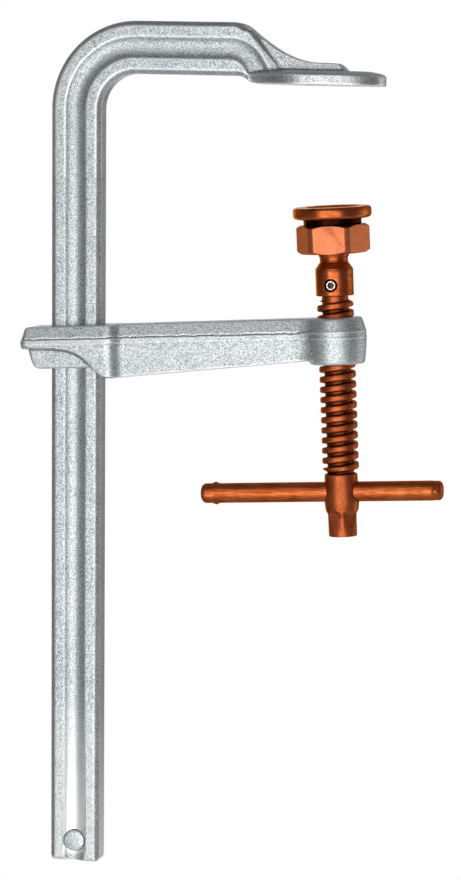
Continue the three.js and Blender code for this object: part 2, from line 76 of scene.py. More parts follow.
EDGE_BULGE = 0.15  # the bulge of a fine skin that counts as an edge, as a share of its squares
COPPER_SLOT = "copper_plated_steel"
FORGED_SLOT = "forged_steel"

Point = tuple[float, float]


# ------------------------------------------------------------------ the frame, in millimetres


def box_mm(node: str) -> tuple[Vector, Vector]:
    """Finds the box round a CAD node.

    Args:
        node: The node.

    Returns:
        Its lowest and highest corner, in millimetres.
    """
    low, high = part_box(node)
    return low / MM, high / MM


def joint_record(name: str) -> dict:
    """The record's row for a joint."""
    return next(joint for joint in frame["joints"] if joint["name"] == name)


def arm_frame() -> Matrix:
    """The turn from the upright frame to the arm's own, whose Z axis is the axis of the screw."""
    axis = Vector(joint_record("spindle_feed")["axis"])
    return Matrix.Rotation(math.atan2(axis.x, axis.z), 4, "Y")


def pad_frame() -> Matrix:
    """Finds the arm's frame leaned forward about the middle of the ball, with its origin kept in place.

    Returns:
        The frame.
    """
    swivel = joint_record("pad_swivel")
    axis = Vector(swivel["axis"])
    ball = Vector(swivel["pos_m"]) / MM
    lean = Matrix.Rotation(math.asin(-axis.y), 4, "X")
    centre = Matrix.Translation((0.0, 0.0, ball.length * math.copysign(1.0, ball.z)))
    return arm_frame() @ centre @ lean @ centre.inverted()


# ------------------------------------------------------------------ outlines


class Plane(Enum):
    """The plane that an outline is drawn in."""

    SIDE = "side"  # X and Z, extruded along Y
    PLAN = "plan"  # X and Y, extruded along Z


def arc(centre: Point, radius: float, start: float, end: float, steps: int) -> list[Point]:
    """Points of a circular arc.

    Args:
        centre: The middle of the arc.
        radius: Its radius.
        start: The angle it starts at, in degrees.
        end: The angle it ends at, in degrees.
        steps: How many chords it has.

    Returns:
        The points, both ends included.
    """
    angles = (math.radians(start + (end - start) * i / steps) for i in range(steps + 1))
    return [(centre[0] + radius * math.cos(a), centre[1] + radius * math.sin(a)) for a in angles]


def curve(start: Point, pull: Point, push: Point, end: Point, steps: int) -> list[Point]:
    """Points of a cubic Bezier curve.

    Args:
        start: The first point.
        pull: The handle that the curve leaves towards.
        push: The handle that the curve arrives from.
        end: The last point.
        steps: How many chords it has.

    Returns:
        The points, both ends included.
    """
    points = []
    for i in range(steps + 1):
        t = i / steps
        weights = ((1 - t) ** 3, 3 * t * (1 - t) ** 2, 3 * t * t * (1 - t), t**3)
        x = sum(w * p[0] for w, p in zip(weights, (start, pull, push, end)))
        y = sum(w * p[1] for w, p in zip(weights, (start, pull, push, end)))
        points.append((x, y))
    return points


def mirrored(half: Sequence[Point]) -> list[Point]:
    """An outline drawn on the -Y side, closed by its own reflection on the +Y side."""
    return [*half, *((x, -y) for x, y in reversed(half))]


# ------------------------------------------------------------------ solids


def outline_face(bm: BMesh, points: Sequence[Point], plane: Plane, level: float) -> BMFace:
    """Draws one face through an outline.

    Args:
        bm: The mesh to draw in.
        points: The outline.
        plane: The plane that it lies in.
        level: Its place on the axis that the plane leaves out.

    Returns:
        The face.
    """
    if plane is Plane.SIDE:
        corners = [bm.verts.new((x, level, z)) for x, z in points]
    else:
        corners = [bm.verts.new((x, y, level)) for x, y in points]
    return bm.faces.new(corners)


def tidy(bm: BMesh) -> BMesh:
    """Merges doubled corners and turns every face outwards.

    Args:
        bm: The shape, which is changed.

    Returns:
        The same shape.
    """
    bmesh.ops.remove_doubles(bm, verts=bm.verts, dist=WELD)
    bmesh.ops.dissolve_degenerate(bm, edges=bm.edges, dist=WELD)
    bmesh.ops.recalc_face_normals(bm, faces=bm.faces)
    return bm


def pushed(bm: BMesh, face: BMFace, travel: Vector) -> BMFace:
    """Extrudes a face along a straight line.

    Args:
        bm: The shape, which is changed.
        face: The face.
        travel: How far it goes, and which way.

    Returns:
        The face that it ends in.
    """
    made = bmesh.ops.extrude_face_region(bm, geom=[face])["geom"]
    bmesh.ops.translate(bm, verts=[g for g in made if isinstance(g, BMVert)], vec=travel)
    return next(g for g in made if isinstance(g, BMFace))


def swung(bm: BMesh, face: BMFace, centre: Vector, degrees: float, steps: int) -> BMFace:
    """Carries a face round an axis along Y.

    Args:
        bm: The shape, which is changed.
        face: The face.
        centre: A point on the axis.
        degrees: How far it turns.
        steps: How many straight steps the turn has.

    Returns:
        The face that it ends in.
    """
    geom = [face, *face.edges, *face.verts]
    made = bmesh.ops.spin(
        bm, geom=geom, cent=centre, axis=(0, 1, 0), angle=math.radians(degrees), steps=steps,
        use_merge=False, use_duplicate=False,
    )["geom_last"]
    return next(g for g in made if isinstance(g, BMFace))


def prism(points: Sequence[Point], plane: Plane, low: float, high: float) -> BMesh:
    """Makes a closed prism on an outline.

    Args:
        points: The outline.
        plane: The plane that it lies in.
        low: The level it starts at.
        high: The level it ends at.

    Returns:
        The prism.
    """
    bm = bmesh.new()
    face = outline_face(bm, points, plane, low)
    along = Vector((0, 1, 0)) if plane is Plane.SIDE else Vector((0, 0, 1))
    pushed(bm, face, along * (high - low))
    return tidy(bm)


def lathe(profile: Sequence[Point], segments: int) -> BMesh:
    """Turns a profile about Z. A profile off the axis has to close on itself.

    Args:
        profile: The profile, as radii and heights.
        segments: How many flats the round has.

    Returns:
        The turned shape.
    """
    bm = bmesh.new()
    verts = [bm.verts.new((radius, 0.0, z)) for radius, z in profile]
    edges = [bm.edges.new(pair) for pair in zip(verts, verts[1:])]
    bmesh.ops.spin(
        bm, geom=[*verts, *edges], cent=(0, 0, 0), axis=(0, 0, 1), angle=2 * math.pi,
        steps=segments, use_merge=True, use_duplicate=False,
    )
    return tidy(bm)


def moved(bm: BMesh, matrix: Matrix) -> BMesh:
    """Places a shape.

    Args:
        bm: The shape, which is changed.
        matrix: Where it goes.

    Returns:
        The same shape.
    """
    bmesh.ops.transform(bm, matrix=matrix, verts=bm.verts)
    return bm


def rounded(
    bm: BMesh, size: float, segments: int, keep: Callable[[BMEdge], bool], clamp: bool = True,
) -> BMesh:
    """Rounds the edges that turn sharply and that a test picks out.

    Args:
        bm: The shape, which is changed.
        size: The width that the rounding takes on each side.
        segments: How many facets it has.
        keep: The test.
        clamp: Whether the width gives way where a neighbouring edge is short.

    Returns:
        The same shape.
    """
    sharp = math.radians(25)
    edges = [e for e in bm.edges if e.is_manifold and e.calc_face_angle() > sharp and keep(e)]
    bmesh.ops.bevel(
        bm, geom=edges, offset=size, offset_type="OFFSET", affect="EDGES", segments=segments,
        profile=0.5, material=-1, clamp_overlap=clamp,
    )
    return tidy(bm)


def together(parts: Iterable[BMesh]) -> BMesh:
    """Puts shells in one mesh, as they are.

    Args:
        parts: The shells, which are freed.

    Returns:
        The mesh.
    """
    whole = bmesh.new()
    for part in parts:
        carrier = bpy.data.meshes.new("carrier")
        part.to_mesh(carrier)
        part.free()
        whole.from_mesh(carrier)
        bpy.data.meshes.remove(carrier)
    return whole


def bench_object(bm: BMesh) -> Object:
    """Makes a passing object that a modifier can work on.

    Args:
        bm: Its shape, which is freed.

    Returns:
        The object.
    """
    mesh = bpy.data.meshes.new("bench")
    bm.to_mesh(mesh)
    bm.free()
    obj = bpy.data.objects.new("bench", mesh)
    bpy.context.scene.collection.objects.link(obj)
    return obj


def off_the_bench(obj: Object) -> BMesh:
    """Takes an object's shape with its modifiers applied.

    Args:
        obj: The object, which is removed.

    Returns:
        The shape.
    """
    graph = bpy.context.evaluated_depsgraph_get()
    graph.update()
    bm = bmesh.new()
    bm.from_mesh(obj.evaluated_get(graph).to_mesh())
    mesh = obj.data
    bpy.data.objects.remove(obj)
    bpy.data.meshes.remove(mesh)
    return bm


def combined(first: BMesh, second: BMesh, operation: str) -> BMesh:
    """Joins, cuts or intersects two closed shapes, and frees both.

    Args:
        first: The shape that is worked on.
        second: The shape that is added, taken away or kept within.
        operation: UNION, DIFFERENCE or INTERSECT.

    Returns:
        The new shape.
    """
    base = bench_object(first)
    tool = bench_object(second)
    step = base.modifiers.new("step", "BOOLEAN")
    step.operation = operation
    step.object = tool
    step.solver = "EXACT"
    result = off_the_bench(base)
    tool_mesh = tool.data
    bpy.data.objects.remove(tool)
    bpy.data.meshes.remove(tool_mesh)
    return tidy(result)


def forged(shells: Iterable[BMesh], grain: float, passes: int) -> BMesh:
    """Fuses overlapping shells into one skin, with the soft inner corners of a forging.

    Args:
        shells: Closed shells that overlap where they belong together.
        grain: The size of the skin's squares.
        passes: How many times the skin is relaxed.

    Returns:
        The skin.
    """
    blank = bench_object(together(shells))
    skin = blank.modifiers.new("skin", "REMESH")
    skin.mode = "VOXEL"
    skin.voxel_size = grain
    bm = off_the_bench(blank)
    relax(bm, passes, lambda vert: True)
    return bm


def relax(bm: BMesh, passes: int, keep: Callable[[BMVert], bool]) -> None:
    """Relaxes some corners, each towards its neighbours.

    Args:
        bm: The shape, which is changed.
        passes: How many times they move.
        keep: The test that picks them out.
    """
    verts = [v for v in bm.verts if keep(v)]
    for _ in range(passes):
        bmesh.ops.smooth_vert(
            bm, verts=verts, factor=0.5, use_axis_x=True, use_axis_y=True, use_axis_z=True,
        )


def smoothstep(low: float, high: float, value: float) -> float:
    """An S-shaped rise from 0 at one value to 1 at another."""
    t = min(1.0, max(0.0, (value - low) / (high - low)))
    return t * t * (3 - 2 * t)


# ------------------------------------------------------------------ nodes and finishes


def linear(hex_colour: str) -> tuple[float, float, float, float]:
    """An sRGB hex colour as a linear RGBA."""
    parts = [int(hex_colour[i : i + 2], 16) / 255 for i in (1, 3, 5)]
    return (*(p / 12.92 if p <= 0.04045 else ((p + 0.055) / 1.055) ** 2.4 for p in parts), 1.0)


def wire(tree: NodeTree, node: Node, inputs: dict) -> None:
    """Gives a node its inputs.

    Args:
        tree: The node tree.
        node: The node.
        inputs: A value, or another node's output socket, for each input by name or number.
    """
    for key, value in inputs.items():
        if isinstance(value, NodeSocket):
            tree.links.new(value, node.inputs[key])
        else:
            node.inputs[key].default_value = value


def add_node(
    tree: NodeTree, kind: str, inputs: dict | None = None,
    stops: Sequence[tuple[float, str]] = (), **settings: object,
) -> Node:
    """Adds a node with its settings and links.

    Args:
        tree: The node tree.
        kind: The node's type, such as ShaderNodeMix.
        inputs: A value, or another node's output socket, for each input by name or number.
        stops: A colour ramp's stops, as positions and sRGB hex colours.
        **settings: The node's own properties.

    Returns:
        The new node.
    """
    made = tree.nodes.new(kind)
    for name, value in settings.items():
        setattr(made, name, value)
    if stops:
        band = made.color_ramp.elements
        while len(band) < len(stops):
            band.new(0.5)
        for element, (position, colour) in zip(band, stops):
            element.position = position
            element.color = linear(colour)
    wire(tree, made, inputs or {})
    return made


def per_metre(size_mm: float) -> float:
    """The texture scale whose features are about this size."""
    return 1.0 / (size_mm * MM)


def blank_material(name: str) -> tuple[Material, NodeTree, Node]:
    """Starts a material.

    Args:
        name: Its name.

    Returns:
        The material, its node tree and its shader.
    """
    material = bpy.data.materials.new(name)
    material.use_nodes = True
    return material, material.node_tree, material.node_tree.nodes["Principled BSDF"]


@dataclass(frozen=True)
class BlastedForging:
    """Drop-forged carbon steel, shot-blasted and zinc-plated: a pale grey skin of fine dents, which
    scatters light like sand. Its edges are painted lighter, partly burnish from handling and partly
    painted highlight, and its hollows are painted darker as painted shade."""

    name: str = "shot_blasted_zinc_plated_forged_steel"
    light: str = "#D3D6D7"
    middle: str = "#B2B6B8"
    dark: str = "#7A8083"
    # convex edges: burnish from handling and also a painted highlight
    burnish_and_highlight: str = "#F6F7F6"
    # painted shade in concave hollows and fillets
    crease_shade: str = "#5E6568"
    grit_mm: float = 0.55  # about twice the real dents, which are too fine to show
    mottle_mm: float = 9.0
    roughness: float = 0.46
    ground_off: float = 0.1  # how much smoother a ground edge is
    dent_mm: float = 0.07

    def build(self) -> Material:
        """Makes the material.

        Returns:
            The material, ready to be put on a piece.
        """
        material, tree, shader = blank_material(self.name)
        place = add_node(tree, "ShaderNodeTexCoord").outputs["Object"]
        grit = add_node(
            tree, "ShaderNodeTexNoise",
            {"Vector": place, "Scale": per_metre(self.grit_mm), "Detail": 2.0, "Roughness": 0.6},
        ).outputs["Fac"]
        mottle = add_node(
            tree, "ShaderNodeTexNoise", {"Vector": place, "Scale": per_metre(self.mottle_mm), "Detail": 2.0},
        ).outputs["Fac"]
        speckle = add_node(
            tree, "ShaderNodeValToRGB", {"Fac": grit},
            stops=[(0.36, self.dark), (0.48, self.middle), (0.62, self.light)],
        ).outputs["Color"]
        clouds = add_node(
            tree, "ShaderNodeValToRGB", {"Fac": mottle}, stops=[(0.35, self.dark), (0.65, self.light)],
        ).outputs["Color"]
        shade = add_node(
            tree, "ShaderNodeMix", {0: 0.2, 6: speckle, 7: clouds}, data_type="RGBA", blend_type="SOFT_LIGHT",
        ).outputs[2]
        crest = add_node(tree, "ShaderNodeAttribute", attribute_name="crest").outputs["Fac"]
        hollow = add_node(tree, "ShaderNodeAttribute", attribute_name="hollow").outputs["Fac"]
        # Convex edges are mixed towards the lightest colour: burnish from handling and also a painted
        # highlight.
        rubbed_and_highlit = add_node(
            tree, "ShaderNodeMix", {0: crest, 6: shade, 7: linear(self.burnish_and_highlight)}, data_type="RGBA",
        ).outputs[2]
        # Concave hollows are mixed towards the dark colour: painted shade.
        colour = add_node(
            tree, "ShaderNodeMix", {0: hollow, 6: rubbed_and_highlit, 7: linear(self.crease_shade)}, data_type="RGBA",
        ).outputs[2]
        blasted = add_node(
            tree, "ShaderNodeMapRange",
            {"Value": grit, "From Min": 0.3, "From Max": 0.7, "To Min": self.roughness + 0.1,
             "To Max": self.roughness - 0.08},
        ).outputs["Result"]
        ground = add_node(tree, "ShaderNodeAttribute", attribute_name="ground").outputs["Fac"]
        rough = add_node(
            tree, "ShaderNodeMath", {0: ground, 1: -self.ground_off, 2: blasted}, operation="MULTIPLY_ADD",
        ).outputs["Value"]
        bump = add_node(
            tree, "ShaderNodeBump", {"Height": grit, "Strength": 0.6, "Distance": self.dent_mm * MM},
        ).outputs["Normal"]
        wire(tree, shader, {"Base Color": colour, "Roughness": rough, "Normal": bump, "Metallic": 0.85})
        return material


@dataclass(frozen=True)
class BrightSteel:
    """Machined steel under thin clear zinc: nearly white where it catches the light, with short
    turning marks, and painted black shade in its socket."""

    name: str = "machined_clear_zinc_steel"
    light: str = "#D8CCC4"
    dark: str = "#8C7F78"
    # the colour of the painted shade in the socket
    painted_shade: str = "#120C0A"
    mark_mm: float = 0.3  # coarser than real turning marks, so that they show
    roughness: float = 0.3

    def build(self) -> Material:
        """Makes the material.

        Returns:
            The material, ready to be put on a piece.
        """
        material, tree, shader = blank_material(self.name)
        place = add_node(tree, "ShaderNodeTexCoord").outputs["Object"]
        marks = add_node(
            tree, "ShaderNodeTexNoise", {"Vector": place, "Scale": per_metre(self.mark_mm), "Detail": 2.0},
        ).outputs["Fac"]
        metal = add_node(
            tree, "ShaderNodeValToRGB", {"Fac": marks}, stops=[(0.35, self.dark), (0.6, self.light)],
        ).outputs["Color"]
        # Painted shade: the colour goes towards near-black where the recess attribute says a spot is shut in.
        recess = add_node(tree, "ShaderNodeAttribute", attribute_name="recess").outputs["Fac"]
        colour = add_node(
            tree, "ShaderNodeMix", {0: recess, 6: metal, 7: linear(self.painted_shade)}, data_type="RGBA",
        ).outputs[2]
        bump = add_node(
            tree, "ShaderNodeBump", {"Height": marks, "Strength": 0.3, "Distance": 0.02 * MM},
        ).outputs["Normal"]
        wire(
            tree, shader,
            {"Base Color": colour, "Normal": bump, "Roughness": self.roughness, "Metallic": 1.0},
        )
        return material


class Working(Enum):
    """How a copper-plated piece was made before it was plated, with the stretch of its marks."""

    TURNED = (0.06, 0.06, 1.0)
    DRAWN = (0.04, 1.0, 1.0)
    FORGED = (1.0, 1.0, 1.0)
    MILLED = (1.0, 1.0, 0.5)


@dataclass(frozen=True)
class CopperPlate:
    """Copper-plated steel: a warm metal film that follows the marks of the work under it. A turned
    piece shows fine rings, a drawn bar long streaks, a forged one dull grain, and painted shade
    blackens the recesses."""

    working: Working
    light: str = "#CF7A4A"
    middle: str = "#B35A2D"
    dark: str = "#74290F"
    # the colour of the painted shade in recesses
    painted_shade: str = "#1A0804"
    grain_mm: float = 0.5  # coarser than real tool marks, so that they show
    cloud_mm: float = 6.0
    roughness: float = 0.38
    relief_mm: float = 0.03
    glancing: str = "#FFCBAA"  # copper stays warm where it is seen edge on

    def build(self) -> Material:
        """Makes the material.

        Returns:
            The material, ready to be put on a piece.
        """
        material, tree, shader = blank_material(f"copper_plated_{self.working.name.lower()}_steel")
        place = add_node(tree, "ShaderNodeTexCoord").outputs["Object"]
        local = add_node(
            tree, "ShaderNodeMapping",
            {"Vector": place, "Rotation": arm_frame().inverted().to_euler(), "Scale": self.working.value},
            vector_type="POINT",
        ).outputs["Vector"]
        grain = add_node(
            tree, "ShaderNodeTexNoise",
            {"Vector": local, "Scale": per_metre(self.grain_mm), "Detail": 3.0, "Roughness": 0.6},
        ).outputs["Fac"]
        cloud = add_node(
            tree, "ShaderNodeTexNoise", {"Vector": place, "Scale": per_metre(self.cloud_mm), "Detail": 3.0},
        ).outputs["Fac"]
        tones = [(0.3, self.dark), (0.5, self.middle), (0.72, self.light)]
        fine = add_node(tree, "ShaderNodeValToRGB", {"Fac": grain}, stops=tones).outputs["Color"]
        broad = add_node(tree, "ShaderNodeValToRGB", {"Fac": cloud}, stops=tones).outputs["Color"]
        plate = add_node(tree, "ShaderNodeMix", {0: 0.35, 6: fine, 7: broad}, data_type="RGBA").outputs[2]
        # Painted shade: the colour goes towards near-black where the recess attribute says a spot is shut in.
        recess = add_node(tree, "ShaderNodeAttribute", attribute_name="recess").outputs["Fac"]
        colour = add_node(
            tree, "ShaderNodeMix", {0: recess, 6: plate, 7: linear(self.painted_shade)}, data_type="RGBA",
        ).outputs[2]
        rough = add_node(
            tree, "ShaderNodeMapRange",
            {"Value": grain, "From Min": 0.3, "From Max": 0.7, "To Min": self.roughness + 0.08,
             "To Max": self.roughness - 0.06},
        ).outputs["Result"]
        bump = add_node(
            tree, "ShaderNodeBump", {"Height": grain, "Strength": 0.4, "Distance": self.relief_mm * MM},
        ).outputs["Normal"]
        wire(
            tree, shader,
            {"Base Color": colour, "Roughness": rough, "Normal": bump, "Metallic": 1.0,
             "Specular Tint": linear(self.glancing)},
        )
        return material


# ------------------------------------------------------------------ finishing a piece


def mark_crests(mesh: Mesh) -> None:
    """Writes how strongly each corner of a fine skin bulges or dips, from 0 to 1, as the attributes
    crest and hollow.

    Args:
        mesh: The skin.
    """
    bm = bmesh.new()
    bm.from_mesh(mesh)
    bm.normal_update()
    bend = []
    for vert in bm.verts:
        ring = [edge.other_vert(vert).co for edge in vert.link_edges]
        middle = sum(ring, Vector()) / len(ring)
        reach = sum((co - vert.co).length for co in ring) / len(ring)
        bend.append((vert.co - middle).dot(vert.normal) / (reach * EDGE_BULGE))
    bm.free()
    for name, way in (("crest", 1.0), ("hollow", -0.6)):
        values = mesh.attributes.new(name, "FLOAT", "POINT")
        values.data.foreach_set("value", [min(1.0, max(0.0, way * b)) for b in bend])


@dataclass(frozen=True)
class PaintedRecessShade:
    """Painted shade: darkness baked into the colour wherever the pieces around a spot shut it in, like
    ambient occlusion.
    """

    reach_mm: float = 4.0  # how near a surface has to be to shut a spot in
    rays: int = 20
    unshaded: float = 0.13  # a spot that is less shut in than this gets no painted shade
    black: float = 0.45  # a spot that is more shut in than this is as black as it gets
    most: float = 0.94
    lift_mm: float = 0.06  # where the rays start, so that they miss their own face

    def settle(self, pieces: Sequence[Object]) -> None:
        """Writes the painted shade of each corner, from 0 to 1, by how shut in it is, as the attribute
        recess.

        Args:
            pieces: Finished pieces that shut each other in.
        """
        shape = bmesh.new()
        for piece in pieces:
            shape.from_mesh(piece.data)
        tree = BVHTree.FromBMesh(shape)
        shape.free()
        golden = math.pi * (3 - math.sqrt(5))
        fan = []
        for i in range(self.rays):
            height = math.sqrt(1 - (i + 0.5) / self.rays)
            flat = math.sqrt(1 - height * height)
            fan.append(Vector((flat * math.cos(golden * i), flat * math.sin(golden * i), height)))
        reach = self.reach_mm * MM
        for piece in pieces:
            values = []
            for vert in piece.data.vertices:
                turn = vert.normal.to_track_quat("Z", "Y")
                start = vert.co + vert.normal * self.lift_mm * MM
                hits = (tree.ray_cast(start, turn @ ray, reach)[3] for ray in fan)
                shut = sum(1 - far / reach for far in hits if far is not None) / self.rays
                values.append(self.most * smoothstep(self.unshaded, self.black, shut))
            recess = piece.data.attributes.new("recess", "FLOAT", "POINT")
            recess.data.foreach_set("value", values)


@dataclass
class Fitting:
    """Where a finished piece belongs: its body, the CAD node it stands for and its slot."""

    name: str
    body: str
    node: str
    slot: str
    sharp_degrees: float = 40.0  # an edge that turns more than this is drawn sharp
    fine_skin: bool = False

    def deliver(self, bm: BMesh, material: Material) -> Object:
        """Turns a shape in millimetres into a finished piece in metres.

        Args:
            bm: The shape, which is freed.
            material: Its finish.

        Returns:
            The piece's object.
        """
        bmesh.ops.scale(bm, vec=(MM, MM, MM), verts=bm.verts)
        mesh = bpy.data.meshes.new(self.name)
        bm.to_mesh(mesh)
        bm.free()
        mesh.shade_smooth()
        mesh.set_sharp_from_angle(angle=math.radians(self.sharp_degrees))
        if self.fine_skin:
            mark_crests(mesh)
        mesh.materials.append(material)
        obj = bpy.data.objects.new(self.name, mesh)
        bpy.context.scene.collection.objects.link(obj)
        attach(obj, self.body)
        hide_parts(self.node)
        LOG.info("%s: %d faces on %s", self.name, len(mesh.polygons), self.body)
        return obj


# ------------------------------------------------------------------ rail and fixed jaw


@dataclass
class Rail:
    """The forged bar, grooved on both wide faces, bent over into the fixed jaw."""

    width: float = 26.0
    thick: float = 12.5
    corner: float = 2.4
    groove_width: float = 10.6
    groove_depth: float = 2.0
    dip: float = 14.0  # the radius at which a groove turns down and runs out at the jaw
    dip_degrees: float = 60.0
    dip_run: float = 30.0  # how far the tool goes on straight after the turn
    bend_outside: float = 43.3
    toe_in: float = 1.0  # degrees
    bar_end: float = -44.0
    jaw_top: float = 29.84
    jaw_under: float = 3.84
    cut: float = -46.0  # below this the bar is drawn out straight
    anvil_half: float = 19.0
    anvil_thick: float = 6.6
    rib_half: float = 4.0
    rib_draft: float = 1.1  # how much thicker the rib is on each side at its foot
    rivet_radius: float = 5.35
    rivet_gap: float = 0.35
    grain: float = 0.45
    low: Vector = field(default_factory=lambda: box_mm("rail_with_fixed_jaw")[0])
    high: Vector = field(default_factory=lambda: box_mm("rail_with_fixed_jaw")[1])

    @property
    def centre_x(self) -> float:
        """The middle of the bar's wide face."""
        return self.low.x + self.width / 2

    @property
    def bend_centre(self) -> Vector:
        """The axis that the bar is bent about."""
        return Vector((self.low.x + self.bend_outside, 0.0, self.high.z - self.bend_outside))

    def along_jaw(self) -> Vector:
        """The way the bar runs once it is bent over."""
        turn = math.radians(90 + self.toe_in)
        return Vector((math.sin(turn), 0.0, math.cos(turn)))

    def carried(self, points: Sequence[Point], start_z: float, end_x: float, dip: float = 0.0) -> BMesh:
        """Carries a section up the rail, round the bend and along the jaw.

        Args:
            points: The section, from above.
            start_z: Where it starts.
            end_x: Where along the jaw it stops, or begins to dip.
            dip: The radius of a last turn downwards, or 0 for none.

        Returns:
            The closed solid.
        """
        bm = bmesh.new()
        centre = self.bend_centre
        face = outline_face(bm, points, Plane.PLAN, start_z)
        face = pushed(bm, face, Vector((0, 0, centre.z - start_z)))
        face = swung(bm, face, centre, 90 + self.toe_in, 40)
        along = self.along_jaw()
        here = face.calc_center_median()
        face = pushed(bm, face, along * ((end_x - here.x) / along.x))
        if dip:
            here = face.calc_center_median()
            turn = math.radians(90 + self.toe_in)
            below = Vector((here.x, 0, here.z)) - Vector((-math.cos(turn), 0, math.sin(turn))) * dip
            face = swung(bm, face, below, self.dip_degrees, 16)
            onward = turn + math.radians(self.dip_degrees)
            pushed(bm, face, Vector((math.sin(onward), 0, math.cos(onward))) * self.dip_run)
        bmesh.ops.remove_doubles(bm, verts=bm.verts, dist=WELD)
        inner = [f for f in bm.faces if all(len(e.link_faces) > 2 for e in f.edges)]
        bmesh.ops.delete(bm, geom=inner, context="FACES_ONLY")
        return tidy(bm)

    def section(self) -> list[Point]:
        """Draws the bar's oblong with its broken corners, from above.

        Returns:
            The outline.
        """
        half_w = self.width / 2
        half_t = self.thick / 2
        r = self.corner
        points: list[Point] = []
        soft = 0.25
        for x, y in ((1, 1), (-1, 1), (-1, -1), (1, -1)):
            corner = [
                (half_w, half_t - r - soft),
                (half_w - soft / 2, half_t - r + soft),
                (half_w - r + soft, half_t - soft / 2),
                (half_w - r - soft, half_t),
            ]
            placed = [(self.centre_x + x * a, y * b) for a, b in corner]
            points += placed if x * y > 0 else reversed(placed)
        return points

    def groove_tool(self, side: int) -> BMesh:
        """Makes the round bar that would fill one groove. It runs out in a dip at the jaw.

        Args:
            side: Which wide face the groove is in: -1 for -Y, 1 for +Y.

        Returns:
            The bar.
        """
        w, d = self.groove_width, self.groove_depth
        radius = (w * w / 4 + d * d) / (2 * d)
        centre = (self.centre_x, side * (self.thick / 2 + radius - d))
        points = arc(centre, radius, 0, 360, 64)[:-1]
        return self.carried(points, self.cut - 30, self.bar_end - 4, self.dip)

    def shoulder(self) -> list[BMesh]:
        """Makes the bar's end: swept down to the plate, and cut off along a slant that falls to the
        rib.

        Returns:
            Its block, and the wedge between the slant and the rib.
        """
        top, under, end = self.jaw_top, self.jaw_under, self.bar_end
        slant_top, slant_foot = (-39.4, 25.2), (-25.4, 4.6)
        side = [
            (end - 14, top),
            *curve((end - 3, top), (end, top), (end + 3.0, top - 1.4), slant_top, 6),
            slant_foot,
            (-26.5, 0.3),
            *curve((end + 9, 0.2), (end + 4.5, 0.6), (end + 3.5, under), (end - 1.5, under), 8),
            (end - 14, under),
        ]
        block = prism(side, Plane.SIDE, -self.thick / 2, self.thick / 2)
        block = rounded(
            block, self.corner, 1,
            lambda e: all(v.co.z > slant_top[1] + 0.5 or v.co.z < under + 0.1 for v in e.verts)
            and abs(e.verts[0].co.y) > 1 and abs(e.verts[0].co.y - e.verts[1].co.y) < 1
            and max(v.co.x for v in e.verts) < slant_top[0] + 0.1,
            clamp=False,
        )
        wedge = bmesh.new()
        half = self.thick / 2
        crease = [(slant_top, half), (slant_foot, half), ((-44, 22), half), ((-38, 2), half)]
        foot_of_slant = [((-35.9, 24.3), self.rib_half), ((-20.4, 4.6), self.rib_half + self.rib_draft)]
        for way in (-1, 1):
            for (x, z), y in (*crease, *foot_of_slant, ((-27, 2), self.rib_half)):
                wedge.verts.new((x, way * y, z))
        hull = bmesh.ops.convex_hull(wedge, input=wedge.verts)
        loose = [g for g in (*hull["geom_interior"], *hull["geom_unused"]) if isinstance(g, BMVert)]
        bmesh.ops.delete(wedge, geom=list(set(loose)), context="VERTS")
        return [block, tidy(wedge)]

    def rib(self) -> BMesh:
        """Makes the narrow rib that carries the bar's height down onto the plate in a hollow curve.

        Returns:
            The rib.
        """
        top, end = self.jaw_top, self.bar_end
        side = [
            (end - 8, top - 0.4),
            *curve((end - 1, top - 0.2), (end + 3, top - 0.6), (end + 6, top - 3.4), (-35.2, 24.1), 6),
            *curve((-35.2, 24.1), (-27, 18.0), (-18, 11.3), (-4, 10.9), 14)[1:],
            *curve((4.6, 10.75), (6.6, 10.7), (7.6, 9.6), (10.8, self.anvil_thick - 0.6), 5),
            (10.8, 2.0),
            (end - 8, 6.0),
        ]
        bar = prism(side, Plane.SIDE, -self.rib_half, self.rib_half)
        rounded(
            bar, 1.5, 3,
            lambda e: abs(e.verts[0].co.y - e.verts[1].co.y) < 1 and min(v.co.z for v in e.verts) > 6,
        )
        bmesh.ops.subdivide_edges(
            bar, edges=[e for e in bar.edges if abs(e.verts[0].co.z - e.verts[1].co.z) > 8], cuts=4,
        )
        for vert in bar.verts:
            vert.co.y *= 1 + self.rib_draft / self.rib_half * smoothstep(24, 5, vert.co.z)
        return bar

    def anvil(self) -> BMesh:
        """Makes the oval clamping plate, drawn in at its root to meet the bar.

        Returns:
            The plate.
        """
        wide, tip, root = self.anvil_half, 28.65, self.thick / 2
        start = self.bar_end + 2
        half = [
            *curve((start, -root + 0.8), (start + 16, -root - 0.5), (start + 15, -wide), (-6, -wide), 16),
            *curve((-6, -wide), (14, -wide), (tip, -wide * 0.62), (tip, 0), 22)[1:-1],
        ]
        plan = [*half, (tip, 0.0), *((x, -y) for x, y in reversed(half))]
        rim_height = self.anvil_thick - 1.9
        plate = prism(plan, Plane.PLAN, 0.0, rim_height)
        plate = rounded(
            plate, 1.4, 2,
            lambda e: max(v.co.z for v in e.verts) < 0.1 and e.verts[0].co.x > start + 0.5,
        )
        for inward, rise in ((0.8, 0.75), (1.3, 0.6), (5.4, 1.0)):
            top = max(plate.faces, key=lambda f: f.calc_center_median().z + 0.01 * f.calc_area())
            bmesh.ops.inset_region(
                plate, faces=[top], thickness=inward, depth=rise, use_even_offset=True, use_boundary=True,
            )
        under = self.jaw_under
        side = [
            (tip + 5, -0.01),
            (start + 12, -0.01),
            *curve((start + 9, 0.0), (start + 5, 0.4), (start + 4, under), (start - 1, under), 8),
            (start - 1, 20),
            (tip + 5, 20),
        ]
        return combined(plate, prism(side, Plane.SIDE, -2 * wide, 2 * wide), "INTERSECT")

